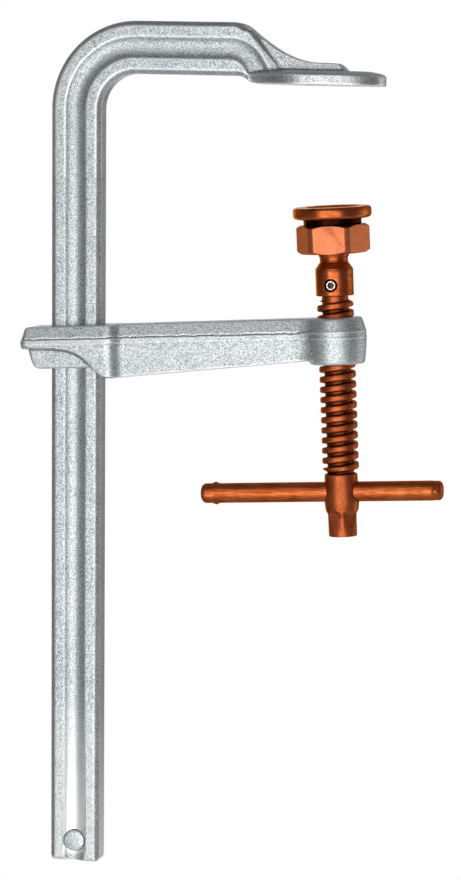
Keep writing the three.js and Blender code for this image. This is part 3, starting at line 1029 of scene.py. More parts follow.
    def jaw_end(self) -> Matrix:
        """The toe-in, about the middle of the clamping face."""
        return Matrix.Rotation(math.radians(self.toe_in), 4, "Y")

    @staticmethod
    def at_rib_foot(vert: BMVert) -> bool:
        """Whether a corner of the skin lies where the rib and the bar run into the plate."""
        return -33 < vert.co.x < 14 and 5.5 < vert.co.z < 10 and abs(vert.co.y) < 9

    def blank(self) -> BMesh:
        """Makes the bend and the jaw as one forged skin.

        Returns:
            The skin.
        """
        bar = self.carried(self.section(), self.cut - 20, self.bar_end - 2)
        block, wedge = (moved(part, self.jaw_end()) for part in self.shoulder())
        grooved = []
        for part in (bar, block, wedge):
            for side in (-1, 1):
                part = combined(part, self.groove_tool(side), "DIFFERENCE")
            grooved.append(part)
        plate = moved(self.anvil(), self.jaw_end())
        rib = moved(self.rib(), self.jaw_end())
        skin = forged([*grooved, plate, rib], self.grain, 2)
        relax(skin, 10, self.at_rib_foot)
        return skin

    def drawn_out(self, skin: BMesh) -> BMesh:
        """Cuts the skin off below the bend and draws it out straight to the foot.

        Args:
            skin: The skin of the bend and jaw, which is changed.

        Returns:
            The same skin, closed at the foot.
        """
        geom = [*skin.verts, *skin.edges, *skin.faces]
        bmesh.ops.bisect_plane(
            skin, geom=geom, dist=WELD, plane_co=(0, 0, self.cut), plane_no=(0, 0, 1), clear_inner=True,
        )
        rim = [e for e in skin.edges if e.is_boundary]
        edge = 2.2
        for above_foot, tuck in ((90, 0.0), (edge, 0.0), (edge / 2, 0.35), (0.35, edge / 2), (0.0, edge)):
            made = bmesh.ops.extrude_edge_only(skin, edges=rim)["geom"]
            rim = [g for g in made if isinstance(g, BMEdge)]
            for vert in (g for g in made if isinstance(g, BMVert)):
                limit = self.width / 2 - tuck
                deep = self.thick / 2 - tuck * 0.4
                vert.co.z = self.low.z + above_foot
                vert.co.x = self.centre_x + max(-limit, min(limit, vert.co.x - self.centre_x))
                vert.co.y = max(-deep, min(deep, vert.co.y))
        bmesh.ops.holes_fill(skin, edges=rim, sides=0)
        return tidy(skin)

    def grind_rim(self, bar: BMesh) -> None:
        """Marks the rim of the plate, which is ground smooth, with the attribute ground.

        Args:
            bar: The whole rail, which gains the attribute.
        """
        layer = bar.verts.layers.float.new("ground")
        bar.normal_update()
        for vert in bar.verts:
            x, y, z = vert.co
            upright = smoothstep(0.8, 0.4, abs(vert.normal.z))
            beside_rib = smoothstep(5.5, 7.5, abs(y)) if x < 12 else 1.0
            vert[layer] = upright * beside_rib * smoothstep(-30, -24, x) * smoothstep(6.4, 5.6, z)

    def rivet_place(self) -> Matrix:
        """Finds where a piece made about Z goes, to lie through the bar at the foot.

        Returns:
            Its place.
        """
        low, high = box_mm("end_stop_rivet")
        middle = (low + high) / 2
        return Matrix.Translation(middle) @ Matrix.Rotation(math.radians(90), 4, "X")

    def build(self, steel: Material, rivet_steel: Material) -> None:
        """Builds the rail and its rivet.

        Args:
            steel: The rail's finish.
            rivet_steel: The rivet's finish.
        """
        radius = self.rivet_radius + self.rivet_gap
        chamfer = 0.45
        face = self.thick / 2
        tool = lathe(
            [(0, -20), (radius + 14, -20), (radius + chamfer, -face + 0.02), (radius, -face + chamfer),
             (radius, face - chamfer), (radius + chamfer, face - 0.02), (radius + 14, 20), (0, 20)],
            64,
        )
        bar = combined(self.drawn_out(self.blank()), moved(tool, self.rivet_place()), "DIFFERENCE")
        self.grind_rim(bar)
        Fitting(
            "forged_rail_and_jaw", "rail", "rail_with_fixed_jaw", FORGED_SLOT, sharp_degrees=50,
            fine_skin=True,
        ).deliver(bar, steel)
        r = self.rivet_radius
        profile = [
            (0, -face),
            *arc((r - 0.6, -face + 0.6), 0.6, -90, 0, 4),
            *arc((r - 0.6, face - 0.6), 0.6, 0, 90, 4),
            (0, face),
        ]
        rivet = moved(lathe(profile, 64), self.rivet_place())
        Fitting("foot_rivet", "rail", "end_stop_rivet", "rivet_steel").deliver(rivet, rivet_steel)


# ------------------------------------------------------------------ screw thread


@dataclass
class Thread:
    """The clamp's coarse right-handed screw thread, with its crest facing +X at phase_z."""

    pitch: float = 5.0
    root: float = 6.5
    crest: float = 9.0
    crest_half: float = 1.35
    foot_half: float = 1.75
    soft: float = 0.95  # the radius that rolls the crest's edges over
    phase_z: float = -141.0
    per_turn: int = 48

    def tooth(self, allowance: float) -> list[Point]:
        """Draws one pitch of the profile, upwards.

        Args:
            allowance: How much bigger all round it is than the screw.

        Returns:
            Its radii and its heights about the crest.
        """
        root, crest = self.root + allowance, self.crest + allowance
        flat = self.crest_half + allowance
        foot = min(self.foot_half + allowance, self.pitch / 2 - 0.3)
        half = [
            (root, -self.pitch / 2),
            *curve((root, -foot - 0.25), (root, -foot - 0.1), (root + 0.1, -foot),
                   (root + 0.6, -foot + 0.1), 3),
            *arc((crest - self.soft, -flat + self.soft * 0.75), self.soft, -80, 0, 5),
        ]
        return [*half, *((r, -z) for r, z in reversed(half))]

    def wound(self, low: float, high: float, run_out: float, allowance: float = 0.0) -> BMesh:
        """Winds the thread between two heights. Both ends are open circles at the root radius.

        Args:
            low: The lower end.
            high: The upper end.
            run_out: The height over which the tooth dies away at each end, or 0 for none.
            allowance: How much bigger all round it is than the screw.

        Returns:
            The open tube.
        """
        bm = bmesh.new()
        first = self.phase_z - self.pitch * math.ceil((self.phase_z - low) / self.pitch + 1)
        turns = math.ceil((high - first) / self.pitch + 2)
        verts = [bm.verts.new((r, 0.0, first + z)) for r, z in self.tooth(allowance)]
        edges = [bm.edges.new(pair) for pair in zip(verts, verts[1:])]
        steps = turns * self.per_turn
        bmesh.ops.spin(
            bm, geom=[*verts, *edges], cent=(0, 0, 0), axis=(0, 0, 1),
            dvec=(0, 0, self.pitch / self.per_turn), angle=2 * math.pi * turns, steps=steps,
            use_merge=False, use_duplicate=False,
        )
        bmesh.ops.remove_doubles(bm, verts=bm.verts, dist=10 * WELD)
        root = self.root + allowance
        if run_out:
            for vert in bm.verts:
                radius = math.hypot(vert.co.x, vert.co.y)
                rise = smoothstep(low, low + run_out, vert.co.z) * smoothstep(high, high - run_out, vert.co.z)
                scale = (root + (radius - root) * rise) / radius
                vert.co.x *= scale
                vert.co.y *= scale
        for height, away in ((low, -1), (high, 1)):
            bmesh.ops.bisect_plane(
                bm, geom=[*bm.verts, *bm.edges, *bm.faces], dist=WELD, plane_co=(0, 0, height),
                plane_no=(0, 0, away), clear_outer=True,
            )
        bmesh.ops.recalc_face_normals(bm, faces=bm.faces)
        return bm


# ------------------------------------------------------------------ sliding arm


@dataclass
class Arm:
    """The forged sliding arm: head and collar round the rail, beam, and threaded boss."""

    head_left: float = -160.0
    head_right: float = -116.0
    top: float = -112.9
    waist_x: float = -110.8
    parting: float = -120.4
    flash_foot: float = -122.9
    flange: float = -124.7
    collar_bottom: float = -134.7
    heel: float = -140.2
    head_half: float = 13.0
    beam_half: float = 8.4
    collar_half: float = 10.8
    draft: float = 2.4
    boss_radius: float = 14.8
    boss_top: float = -112.7
    boss_bottom: float = -135.7
    tear_reach: float = 1.4
    tear_width: float = 0.42
    tear_depth: float = 0.42
    tear_wander: float = 0.45
    window_x: float = -132.7
    window_half_x: float = 14.0
    window_half_y: float = 6.7
    grain: float = 0.45
    thread: Thread = field(default_factory=Thread)

    def plan(self, grow: float = 0.0) -> list[Point]:
        """Draws the arm from above: head, waist, beam and the flare into the boss.

        Args:
            grow: How far outside the arm the outline runs.

        Returns:
            The outline.
        """
        head, beam = self.head_half + grow, self.beam_half + grow
        left, right = self.head_left - grow, self.waist_x - 4.2 + 3 * grow
        end = self.waist_x + 4.6 + grow
        flare = -self.boss_radius
        half = [
            *arc((left + 4, -head + 4), 4, 180, 270, 6),
            *curve((right - 0.6, -head), (right + 3.9, -head), (right + 3.9, -beam - 0.5), (end, -beam), 12),
            *curve((flare - 5.5, -beam), (flare - 1, -beam), (flare + 1.6, -beam - 0.5), (-10.9, -10.1), 8),
            (-6, -12),
            (6, -11),
        ]
        return mirrored(half)

    def side(self) -> list[Point]:
        """Draws the arm from the side: the beam deepens towards the rail and sweeps up over the collar.

        Returns:
            The outline.
        """
        left, right, flange, heel = self.head_left, self.head_right, self.flange, self.heel
        return [
            *curve((left + 0.2, flange + 5), (left + 1.4, self.top - 2.4), (left + 1.6, self.top - 1.0),
                   (left + 3.6, self.top - 0.9), 4),
            (6, self.top + 0.1),
            (6, self.boss_bottom + 2),
            (-self.boss_radius, self.boss_bottom + 1.9),
            (right + 8, heel + 0.3),
            *curve((right + 3, heel + 0.1), (right - 2.5, heel + 0.1), (right - 3.5, heel + 2),
                   (right - 8.5, heel + 7.4), 6),
            *curve((right - 8.5, heel + 7.4), (right - 13, flange - 3.2), (right - 17, flange - 0.4),
                   (right - 31, flange), 8)[1:],
            (left + 0.8, flange + 0.1),
            (left, flange + 1.2),
        ]

    def collar(self) -> BMesh:
        """Makes the recessed collar under the head, which lengthens the arm's hold on the rail.

        Returns:
            The collar.
        """
        left, right = self.head_left, self.head_right
        side = [
            (left + 3.6, self.flange + 3),
            (left + 4.0, self.flange - 1.4),
            *curve((left + 4.6, self.flange - 4), (left + 5.6, self.collar_bottom + 2.5),
                   (left + 6.4, self.collar_bottom), (left + 9.0, self.collar_bottom), 5),
            (right + 1, self.collar_bottom),
            (right + 1, self.flange + 3),
        ]
        block = prism(side, Plane.SIDE, -self.collar_half, self.collar_half)
        return rounded(block, 1.4, 3, lambda e: True)

    def boss(self) -> BMesh:
        """Makes the upright boss, fullest at the height where the two dies met.

        Returns:
            The boss.
        """
        r, top, bottom = self.boss_radius, self.boss_top, self.boss_bottom
        return lathe(
            [
                (0, bottom),
                (r - 3.0, bottom),
                *curve((r - 2.2, bottom), (r - 1.4, bottom), (r - 1.1, bottom + 0.8),
                       (r - 0.9, bottom + 1.8), 4),
                (r - 0.15, -127.0),
                (r, -123.2),
                (r + 0.25, -122.9),
                (r + 0.25, -122.6),
                (r, -122.3),
                (r, -120.0),
                (r + 0.2, -119.7),
                (r - 0.1, -119.3),
                *curve((r - 1.5, top - 1.8), (r - 1.8, top - 0.6), (r - 2.2, top), (r - 3.4, top), 4),
                (0, top),
            ],
            96,
        )

    def flash(self) -> BMesh:
        """The upright land that trimming left round the arm at the parting height."""
        return prism(self.plan(0.28), Plane.PLAN, self.flash_foot, self.parting + 0.4)

    def ragged(self, skin: BMesh) -> None:
        """Tears a shallow broken line along the upper edge of the flash on the beam and the head.

        Args:
            skin: The arm's skin, which is changed.
        """
        tear = self.parting + 0.55
        for vert in skin.verts:
            x, y, z = vert.co
            if abs(z - tear) > self.tear_reach or x > -self.boss_radius - 2:
                continue
            wander = self.tear_wander * noise.noise(Vector((x * 0.35, y, 0.0)))
            bite = math.exp(-(((z - tear - wander) / self.tear_width) ** 2))
            depth = self.tear_depth + 0.35 * noise.noise(Vector((x * 1.1, y, 7.0)))
            vert.co.y -= math.copysign(bite * depth, y)

    def window(self) -> BMesh:
        """Makes the opening for the rail, less the two keys that ride in the rail's grooves.

        Returns:
            The opening, as a solid.
        """
        hx, hy = self.window_half_x, self.window_half_y
        key_foot, key_tip, tip_y = 3.2, 1.5, Rail().thick / 2 - 1.1
        half = [
            (self.window_x - hx, -hy),
            (self.window_x - key_foot, -hy),
            (self.window_x - key_tip, -tip_y),
            (self.window_x + key_tip, -tip_y),
            (self.window_x + key_foot, -hy),
            (self.window_x + hx, -hy),
        ]
        return prism(mirrored(half), Plane.PLAN, self.heel - 20, self.top + 20)

    def under_head(self, vert: BMVert) -> bool:
        """Whether a corner of the skin is on the head's outer lower edge, which is well rounded."""
        proud = abs(vert.co.y) > self.collar_half + 0.3 and vert.co.x < self.waist_x + 4
        return proud and vert.normal.z < -0.15 and abs(vert.normal.y) > 0.15

    def build(self, steel: Material) -> None:
        """Builds the arm.

        Args:
            steel: Its finish.
        """
        bm = bmesh.new()
        face = outline_face(bm, self.plan(), Plane.PLAN, self.heel - 6)
        face = pushed(bm, face, Vector((0, 0, self.parting - self.heel + 6)))
        tidy(bm)
        top = max(bm.faces, key=lambda f: f.calc_center_median().z)
        top = pushed(bm, top, Vector((0, 0, self.top + 0.3 - self.parting)))
        for vert in top.verts:
            vert.co.y -= math.copysign(self.draft, vert.co.y)
            vert.co.x += self.draft * smoothstep(self.head_left + 4, self.head_left, vert.co.x)
        side = prism(self.side(), Plane.SIDE, -2 * self.head_half, 2 * self.head_half)
        flash = combined(self.flash(), prism(self.side(), Plane.SIDE, -30, 30), "INTERSECT")
        blank = combined(tidy(bm), side, "INTERSECT")
        window = self.window()
        shells = []
        for shell in (blank, self.collar(), flash):
            shells.append(combined(shell, window.copy(), "DIFFERENCE"))
        window.free()
        skin = forged([*shells, self.boss()], self.grain, 2)
        skin.normal_update()
        relax(skin, 70, self.under_head)
        self.ragged(skin)
        bore = self.thread.wound(self.boss_bottom - 4, self.boss_top + 4, 0.0, 0.35)
        bmesh.ops.holes_fill(bore, edges=[e for e in bore.edges if e.is_boundary], sides=0)
        arm = combined(skin, tidy(bore), "DIFFERENCE")
        moved(arm, arm_frame())
        Fitting(
            "forged_sliding_arm", "arm", "sliding_arm", FORGED_SLOT, sharp_degrees=50, fine_skin=True,
        ).deliver(arm, steel)


# ------------------------------------------------------------------ screw and tommy bar


@dataclass
class Screw:
    """The spindle, with its cross-drilled head and hexagon drive, and the tommy bar through it."""

    thread: Thread = field(default_factory=Thread)
    thread_top: float = -103.8
    thread_bottom: float = -189.3
    journal: float = 6.2
    journal_top: float = -90.9
    journal_bottom: float = -102.6
    neck: float = 4.8
    neck_z: float = -96.9
    neck_half: float = 2.9
    head: float = 8.6
    head_bottom: float = -208.0
    hex_half: float = 7.0
    hex_bottom: float = -220.8
    hex_corner: float = 12.0  # degrees from -Y towards +X
    bar_radius: float = 4.95
    bar_z: float = -198.9
    bar_left: float = -70.8
    bar_right: float = 50.5
    bar_gap: float = 0.35

    def journal_end(self, bm: BMesh) -> None:
        """Closes the upper end of the wound thread with the journal that the stud turns on.

        Args:
            bm: The wound thread, which is changed.
        """
        rings = [
            (self.journal_bottom, self.thread.root),
            (self.journal_bottom, self.journal),
            (self.neck_z - self.neck_half, self.journal),
            (self.neck_z - self.neck_half, self.neck),
            (self.neck_z + self.neck_half, self.neck),
            (self.neck_z + self.neck_half, self.journal),
            (self.journal_top - 0.6, self.journal),
            (self.journal_top, self.journal - 0.6),
        ]
        rim = [e for e in bm.edges if e.is_boundary and e.verts[0].co.z > self.thread_top - 1]
        for height, radius in rings:
            made = bmesh.ops.extrude_edge_only(bm, edges=rim)["geom"]
            rim = [g for g in made if isinstance(g, BMEdge)]
            for vert in (g for g in made if isinstance(g, BMVert)):
                flat = Vector((vert.co.x, vert.co.y, 0)).normalized() * radius
                vert.co = (flat.x, flat.y, height)
        bmesh.ops.holes_fill(bm, edges=rim, sides=0)

    def head_radius(self, height: float, angle: float) -> float:
        """Finds the head's radius: a slightly swelling barrel, then a cone that the hexagon's flats
        cut.

        Args:
            height: The height.
            angle: The angle about the screw's axis, in radians.

        Returns:
            The radius.
        """
        top = self.thread_bottom
        barrel = self.head - 0.45 + 0.45 * smoothstep(top - 2, top - 13, height)
        barrel -= 1.3 * smoothstep(top - 1.4, top, height) ** 2
        taper = self.head_bottom + 4.5 - height
        cone = self.head - max(0.0, taper) * 0.1
        corner = math.radians(self.hex_corner - 90)
        from_flat = (angle - corner) % (math.pi / 3) - math.pi / 6
        across = self.hex_half / math.cos(from_flat)
        rise = max(0.0, height - (self.head_bottom - 1.6))
        sweep = across + 0.55 * rise + 0.05 * rise * rise
        foot = self.hex_half / math.cos(math.pi / 6) - 0.75 * max(0.0, self.hex_bottom + 0.8 - height)
        return min(barrel, cone, sweep, foot if rise == 0.0 else math.inf)

    def head_and_drive(self) -> BMesh:
        """Makes the head and the hexagon as one tube, closed below and open above.

        Returns:
            The tube.
        """
        bm = bmesh.new()
        segments = 144
        top = self.thread_bottom - 0.15
        rim = bmesh.ops.create_circle(
            bm, cap_ends=False, segments=segments, radius=self.thread.root + 0.2,
        )["verts"]
        spin = Matrix.Rotation(math.radians(self.hex_corner), 4, "Z")
        bmesh.ops.transform(bm, matrix=Matrix.Translation((0, 0, top)) @ spin, verts=rim)
        edges = list(bm.edges)
        heights = [top - 0.05, top - 0.35, top - 0.8, top - 1.4, top - 4, top - 8]
        heights += [top - 12, self.head_bottom + 4.5]
        heights += [self.head_bottom + 4.5 - 0.45 * i for i in range(1, 20)]
        heights += [self.hex_bottom + 2, self.hex_bottom + 0.8, self.hex_bottom]
        for height in heights:
            made = bmesh.ops.extrude_edge_only(bm, edges=edges)["geom"]
            edges = [g for g in made if isinstance(g, BMEdge)]
            for vert in (g for g in made if isinstance(g, BMVert)):
                angle = math.atan2(vert.co.y, vert.co.x)
                radius = self.head_radius(height, angle)
                vert.co = (radius * math.cos(angle), radius * math.sin(angle), height)
        bmesh.ops.holes_fill(bm, edges=edges, sides=0)
        return bm

    def along_bar(self) -> Matrix:
        """Finds where a piece made about Z goes, to lie along the tommy bar.

        Returns:
            Its place.
        """
        axis = Vector(joint_record("tommy_slide")["axis"])
        local = arm_frame().inverted().to_3x3() @ axis
        turn = Matrix.Rotation(math.atan2(local.y, local.x), 4, "Z")
        return Matrix.Translation((0, 0, self.bar_z)) @ turn @ Matrix.Rotation(math.radians(90), 4, "Y")

    def spindle(self) -> BMesh:
        """Makes the spindle in one piece.

        Returns:
            The spindle.
        """
        bm = self.thread.wound(self.thread_bottom, self.thread_top, 2.0)
        self.journal_end(bm)
        whole = together([bm, self.head_and_drive()])
        seam = [e for e in whole.edges if e.is_boundary]
        bmesh.ops.bridge_loops(whole, edges=seam)
        tidy(whole)
        radius = self.bar_radius + self.bar_gap
        hole = moved(lathe([(0, -20), (radius, -20), (radius, 20), (0, 20)], 72), self.along_bar())
        return combined(whole, hole, "DIFFERENCE")

    def tommy_bar(self) -> BMesh:
        """Makes the bar, domed at both ends and crimped near each so that it can't fall out.

        Returns:
            The bar.
        """
        r, left, right = self.bar_radius, self.bar_left, self.bar_right
        dome = 2.6
        stretch = [left + dome + 0.5 * i for i in range(26)]
        back = [right - dome - 0.5 * i for i in range(20)]
        body = [(r, z) for z in (*stretch, *sorted(back))]
        profile = [
            (0, left),
            *arc((r - dome, left + dome), dome, -90, 0, 6)[:-1],
            *body,
            *arc((r - dome, right - dome), dome, 0, 90, 6)[1:],
            (0, right),
        ]
        crimps = ((left + 7.4, 0.0), (right - 3.4, math.pi / 2))
        bm = lathe(profile, 64)
        for vert in bm.verts:
            around = math.atan2(vert.co.y, vert.co.x)
            for place, facing in crimps:
                nub = math.exp(-(((vert.co.z - place) / 1.25) ** 2))
                turn = (around - facing + math.pi / 2) % math.pi - math.pi / 2
                swell = 1 + nub * (0.2 * math.exp(-((turn / 0.3) ** 2)) - 0.035)
                vert.co.x *= swell
                vert.co.y *= swell
        return moved(bm, self.along_bar())

    def build(self, threaded: Material, drawn: Material, painted_shade: PaintedRecessShade) -> None:
        """Builds the spindle and the tommy bar.

        Args:
            threaded: The spindle's finish.
            drawn: The tommy bar's finish.
            painted_shade: The painted shade that darkens the thread and round the crimps.
        """
        rows = [
            (Fitting("screw_spindle", "screw", "spindle", COPPER_SLOT), self.spindle(), threaded),
            (Fitting("sliding_tommy_bar", "handle", "tommy_bar", COPPER_SLOT), self.tommy_bar(), drawn),
        ]
        for fitting, shape, finish in rows:
            painted_shade.settle([fitting.deliver(moved(shape, arm_frame()), finish)])


# ------------------------------------------------------------------ swivel pad


@dataclass
class Pad:
    """The stud on the end of the screw, the pressure plate on its ball, and the nut that joins them."""

    sleeve: float = 9.3
    bore: float = 6.55
    stud_bottom: float = -102.2
    cone_bottom: float = -88.7
    cone_top: float = -85.8
    neck: float = 6.95
    ball_z: float = -72.5
    ball: float = 10.8
    gap: float = 0.35
    set_screw: float = 2.4
    set_screw_z: float = -96.9
    nut_half: float = 16.2
    nut_corner: float = 17.95
    nut_top: float = -67.5
    nut_bottom: float = -81.2
    nut_turn: float = 4.5
    nut_bore: float = 13.1
    nut_opening: float = 9.6
    plate: float = 19.3
    plate_top: float = -58.6
    plate_bottom: float = -64.4
    recess: float = 12.0
    plate_neck: float = 14.35
    neck_bottom: float = -67.2
    plate_thread: float = 12.7
    plate_thread_bottom: float = -71.5

    def stud(self) -> BMesh:
        """Makes the sleeve, neck and ball, with the cross hole for the set screw.

        Returns:
            The stud.
        """
        meets = -math.degrees(math.acos(self.neck / self.ball))
        profile = [
            (0, -89.8),
            (self.bore, -89.8),
            (self.bore, self.stud_bottom + 0.4),
            (self.bore + 0.4, self.stud_bottom),
            *arc((self.sleeve - 0.5, self.stud_bottom + 0.5), 0.5, -90, 0, 3),
            (self.sleeve, self.cone_bottom - 2.4),
            (self.sleeve, self.cone_bottom - 0.4),
            (self.sleeve - 0.35, self.cone_bottom + 0.2),
            (self.neck + 0.25, self.cone_top - 0.3),
            (self.neck, self.cone_top + 0.3),
            (self.neck, self.cone_top + 2.4),
            (self.neck + 0.55, self.cone_top + 3.2),
            *arc((0, self.ball_z), self.ball, meets + 5, 90, 22)[:-1],
            (0, self.ball_z + self.ball),
        ]
        hole_radius = self.set_screw + self.gap
        tool = lathe(
            [(0, self.bore - 2), (hole_radius, self.bore - 2), (hole_radius, self.sleeve - 1.6),
             (hole_radius + 0.55, self.sleeve - 1.2), (hole_radius + 0.55, 12), (0, 12)],
            40,
        )
        return combined(lathe(profile, 96), moved(tool, self.cross_place()), "DIFFERENCE")

    def cross_place(self) -> Matrix:
        """Turns a piece made about Z so that it points to -Y at the set screw's height."""
        return Matrix.Translation((0, 0, self.set_screw_z)) @ Matrix.Rotation(math.radians(90), 4, "X")

    def grub(self) -> BMesh:
        """Makes the hollow-headed set screw.

        Returns:
            The set screw.
        """
        r = self.set_screw
        body = lathe([(0, 5.4), (r - 0.4, 5.4), (r, 5.8), (r, 8.75), (r - 0.3, 9.1), (0, 9.1)], 40)
        corner = 1.6 / math.cos(math.pi / 6)
        socket = lathe([(0, 6.7), (corner, 6.7), (corner, 10), (0, 10)], 6)
        return moved(combined(body, socket, "DIFFERENCE"), self.cross_place())

    def nut(self) -> BMesh:
        """Makes the hexagon nut, turned down at its corners and chamfered above and below.

        Returns:
            The nut.
        """
        corner = self.nut_half / math.cos(math.pi / 6)
        low, high = self.nut_bottom, self.nut_top
        hexagon = lathe([(0, low), (corner, low), (corner, high), (0, high)], 6)
        moved(hexagon, Matrix.Rotation(math.radians(self.nut_turn), 4, "Z"))
        r = self.nut_corner
        envelope = lathe(
            [(0, low), (r - 1.9, low), (r, low + 1.3), (r, high - 1.1), (r - 1.7, high), (0, high)],
            180,
        )
        seat = self.ball + self.gap
        start = -math.degrees(math.acos(self.nut_opening / seat))
        cavity = lathe(
            [(0, low - 2), (self.nut_opening + 1.2, low - 2), (self.nut_opening + 0.6, low - 0.01),
             (self.nut_opening, low + 0.6), *arc((0, self.ball_z), seat, start, 0, 10),
             (self.nut_bore, self.ball_z), (self.nut_bore, high + 1), (0, high + 1)],
            96,
        )
        nut = combined(combined(hexagon, envelope, "INTERSECT"), cavity, "DIFFERENCE")
        return rounded(nut, 0.45, 2, lambda e: abs(e.verts[0].co.z - e.verts[1].co.z) > 9)

    def plate_profile(self) -> list[Point]:
        """Draws half of the pressure plate: the ball's socket, the threaded neck and the disc.

        Returns:
            The profile, as radii and heights.
        """
        seat = self.ball + self.gap
        mouth = math.degrees(math.asin((self.plate_thread_bottom - self.ball_z) / seat))
        neck = self.plate_neck
        fine = []
        for i in range(3):
            z = self.neck_bottom + 0.35 + 0.75 * i
            fine += [(neck - 0.28, z), (neck, z + 0.2), (neck, z + 0.4), (neck - 0.28, z + 0.6)]
        return [
            (0, self.ball_z + seat),
            *arc((0, self.ball_z), seat, 90, mouth, 16)[1:],
            (self.plate_thread, self.plate_thread_bottom),
            (self.plate_thread, self.neck_bottom - 0.1),
            (neck - 0.4, self.neck_bottom),
            *fine,
            (neck, self.plate_bottom - 0.15),
            *arc((self.plate - 2.0, self.plate_bottom + 2.0), 2.0, -90, 0, 7),
            *arc((self.plate - 1.7, self.plate_top - 1.7), 1.7, 0, 90, 7),
            (self.recess + 1.6, self.plate_top),
            (self.recess + 1.2, self.plate_top - 0.15),
            (self.recess, self.plate_top - 0.75),
            (self.recess - 0.6, self.plate_top - 0.85),
            (0, self.plate_top - 0.85),
        ]

    def build(
        self, turned: Material, milled: Material, bright: Material, painted_shade: PaintedRecessShade,
    ) -> None:
        """Builds the stud, set screw, nut and plate.

        Args:
            turned: The finish of the stud and the plate.
            milled: The nut's finish.
            bright: The set screw's finish.
            painted_shade: The painted shade that darkens the gaps between them.
        """
        upright, leaning = arm_frame(), pad_frame()
        rows = [
            (Fitting("pad_stud_and_ball", "stud", "pad_stud", COPPER_SLOT), self.stud(), upright, turned),
            (Fitting("pad_grub_screw", "stud", "pad_set_screw", "bright_steel", sharp_degrees=30),
             self.grub(), upright, bright),
            (Fitting("pad_hexagon_nut", "pad_nut", "pad_union_nut", COPPER_SLOT, sharp_degrees=20),
             self.nut(), leaning, milled),
            (Fitting("pad_pressure_plate", "pad_plate", "pressure_plate", COPPER_SLOT),
             lathe(self.plate_profile(), 128), leaning, turned),
        ]
        painted_shade.settle([fitting.deliver(moved(shape, place), finish) for fitting, shape, place, finish in rows])


# ------------------------------------------------------------------ studio


@dataclass(frozen=True)
class Softbox:
    """A soft rectangular light that faces the clamp."""

    name: str
    yaw: float  # degrees round from the front, towards +X
    pitch: float  # degrees above the level
    size: Point  # metres
    power: float  # watts
    away: float = 1100.0


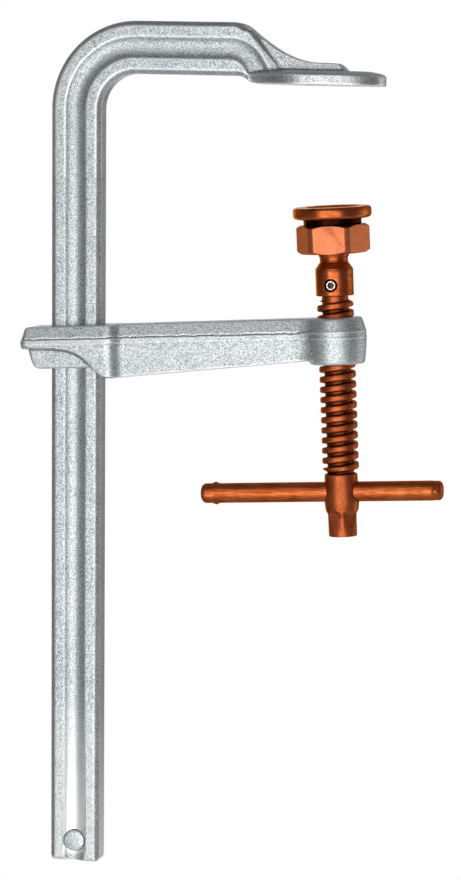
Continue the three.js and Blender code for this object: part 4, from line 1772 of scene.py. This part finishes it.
@dataclass
class Studio:
    """The camera, soft light and pale floor."""

    yaw: float = 14.48
    pitch: float = 6.0
    roll: float = 0.46
    distance: float = 1390.0
    lens: float = 114.3
    floor_drop: float = 0.3  # metres
    target: Vector = field(default_factory=lambda: Vector((-47.6, 0.0, -175.05)))
    softboxes: tuple[Softbox, ...] = (
        Softbox("key", -11.0, -5.0, (0.36, 0.8), 3.25),
        Softbox("broad_fill", 19.0, -9.0, (0.78, 0.9), 5.0),
        Softbox("left_fill", -45.0, -6.0, (0.5, 0.9), 0.15),
        Softbox("top_front", 0.0, 33.0, (1.1, 0.3), 2.1),
        Softbox("low_fill", 6.0, -38.0, (1.2, 0.5), 2.6, away=1000.0),
        Softbox("right_rear", 120.0, -6.0, (0.6, 0.9), 1.7),
        Softbox("left_rear", -138.0, -6.0, (0.5, 0.9), 1.3),
        Softbox("back_fill", -165.0, 0.0, (0.6, 0.9), 2.4),
    )

    def stand(self, yaw: float, pitch: float, away: float, roll: float = 0.0) -> Matrix:
        """Finds where a camera or a light stands so that it faces the clamp.

        Args:
            yaw: How far round from the front it stands, towards +X, in degrees.
            pitch: How far above the level it stands, in degrees.
            away: Its distance in millimetres.
            roll: How far it is turned about its own view, in degrees.

        Returns:
            Its place, in metres.
        """
        a, e, tilt = math.radians(yaw), math.radians(pitch), math.radians(roll)
        forward = Vector((-math.sin(a) * math.cos(e), math.cos(a) * math.cos(e), -math.sin(e)))
        level = Vector((math.cos(a), math.sin(a), 0.0))
        upright = level.cross(forward)
        right = level * math.cos(tilt) + upright * math.sin(tilt)
        up = upright * math.cos(tilt) - level * math.sin(tilt)
        place = Matrix((right, up, -forward)).transposed().to_4x4()
        place.translation = (self.target - forward * away) * MM
        return place

    def camera(self) -> None:
        """Puts the camera where it sees the clamp from the front, a little to the right and above."""
        data = bpy.data.cameras.new("camera")
        data.lens = self.lens
        data.clip_start = 0.05
        data.clip_end = 20
        obj = bpy.data.objects.new("camera", data)
        obj.matrix_world = self.stand(self.yaw, self.pitch, self.distance, self.roll)
        bpy.context.scene.collection.objects.link(obj)
        bpy.context.scene.camera = obj

    def hang(self, softbox: Softbox) -> None:
        """Hangs one of the soft lights.

        Args:
            softbox: The light.
        """
        data = bpy.data.lights.new(softbox.name, "AREA")
        data.shape = "RECTANGLE"
        data.size, data.size_y = softbox.size
        data.energy = softbox.power
        obj = bpy.data.objects.new(softbox.name, data)
        obj.matrix_world = self.stand(softbox.yaw, softbox.pitch, softbox.away)
        bpy.context.scene.collection.objects.link(obj)

    def floor(self) -> None:
        """Lays a plain pale floor well below the rail's foot. The view sees it as white as the backdrop."""
        bm = bmesh.new()
        bmesh.ops.create_grid(bm, x_segments=1, y_segments=1, size=6.0)
        bmesh.ops.translate(bm, verts=bm.verts, vec=(0, 0, CAD_BOX[0].z - self.floor_drop))
        mesh = bpy.data.meshes.new("floor")
        bm.to_mesh(mesh)
        bm.free()
        material, tree, shader = blank_material("painted_pale_floor")
        wire(tree, shader, {"Base Color": linear("#F4F4F4"), "Roughness": 0.9})
        seen = add_node(tree, "ShaderNodeLightPath").outputs["Is Camera Ray"]
        glow = add_node(tree, "ShaderNodeEmission", {"Color": linear("#FFFFFF"), "Strength": 1.0})
        mix = add_node(tree, "ShaderNodeMixShader", {0: seen, 1: shader.outputs[0], 2: glow.outputs[0]})
        tree.links.new(mix.outputs[0], tree.nodes["Material Output"].inputs["Surface"])
        mesh.materials.append(material)
        obj = bpy.data.objects.new("floor", mesh)
        bpy.context.scene.collection.objects.link(obj)

    def surroundings(self) -> None:
        """Hangs a white backdrop, which lights the clamp dimly in front and more from behind."""
        world = bpy.data.worlds.new("studio")
        bpy.context.scene.world = world
        world.use_nodes = True
        tree = world.node_tree
        seen = add_node(tree, "ShaderNodeLightPath").outputs["Is Camera Ray"]
        way = add_node(tree, "ShaderNodeTexCoord").outputs["Generated"]
        depth = add_node(tree, "ShaderNodeSeparateXYZ", {"Vector": way}).outputs["Y"]
        glow = add_node(
            tree, "ShaderNodeMapRange",
            {"Value": depth, "From Min": 0.0, "From Max": 0.6, "To Min": 0.16, "To Max": 0.5},
        ).outputs["Result"]
        dim = add_node(tree, "ShaderNodeBackground", {"Color": linear("#E2E4E5"), "Strength": glow})
        white = add_node(tree, "ShaderNodeBackground", {"Color": linear("#FFFFFF"), "Strength": 1.0})
        mix = add_node(tree, "ShaderNodeMixShader", {0: seen, 1: dim.outputs[0], 2: white.outputs[0]})
        tree.links.new(mix.outputs[0], tree.nodes["World Output"].inputs["Surface"])
        bpy.context.scene.view_settings.view_transform = "Standard"

    def build(self) -> None:
        """Sets up the whole studio."""
        self.camera()
        self.floor()
        self.surroundings()
        for softbox in self.softboxes:
            self.hang(softbox)


def main() -> None:
    """Builds the clamp, piece by piece."""
    logging.basicConfig(level=logging.INFO, format="%(name)s %(message)s")
    Studio().build()
    steel = BlastedForging().build()
    rivet_steel = BlastedForging(
        name="trimmed_zinc_plated_rivet_steel", grit_mm=0.6, roughness=0.4, dark="#9AA1A3",
    ).build()
    forged_copper = CopperPlate(
        Working.FORGED, light="#CA744A", middle="#A8532C", roughness=0.44, relief_mm=0.05,
    ).build()
    drawn_copper = CopperPlate(Working.DRAWN, roughness=0.42).build()
    turned_copper = CopperPlate(Working.TURNED, roughness=0.32, grain_mm=0.35).build()
    milled_copper = CopperPlate(
        Working.MILLED, light="#D4825A", middle="#C4704A", dark="#A85834", roughness=0.42, grain_mm=0.4,
    ).build()
    Rail().build(steel, rivet_steel)
    Arm().build(steel)
    # Painted shade, from how shut in each spot is, darkens the thread, the crimps and the gaps round the pad.
    Screw().build(forged_copper, drawn_copper, PaintedRecessShade())
    deep_painted_shade = PaintedRecessShade(reach_mm=8.0, unshaded=0.1, black=0.34)
    Pad().build(turned_copper, milled_copper, BrightSteel().build(), deep_painted_shade)


if __name__ == "__main__":
    main()
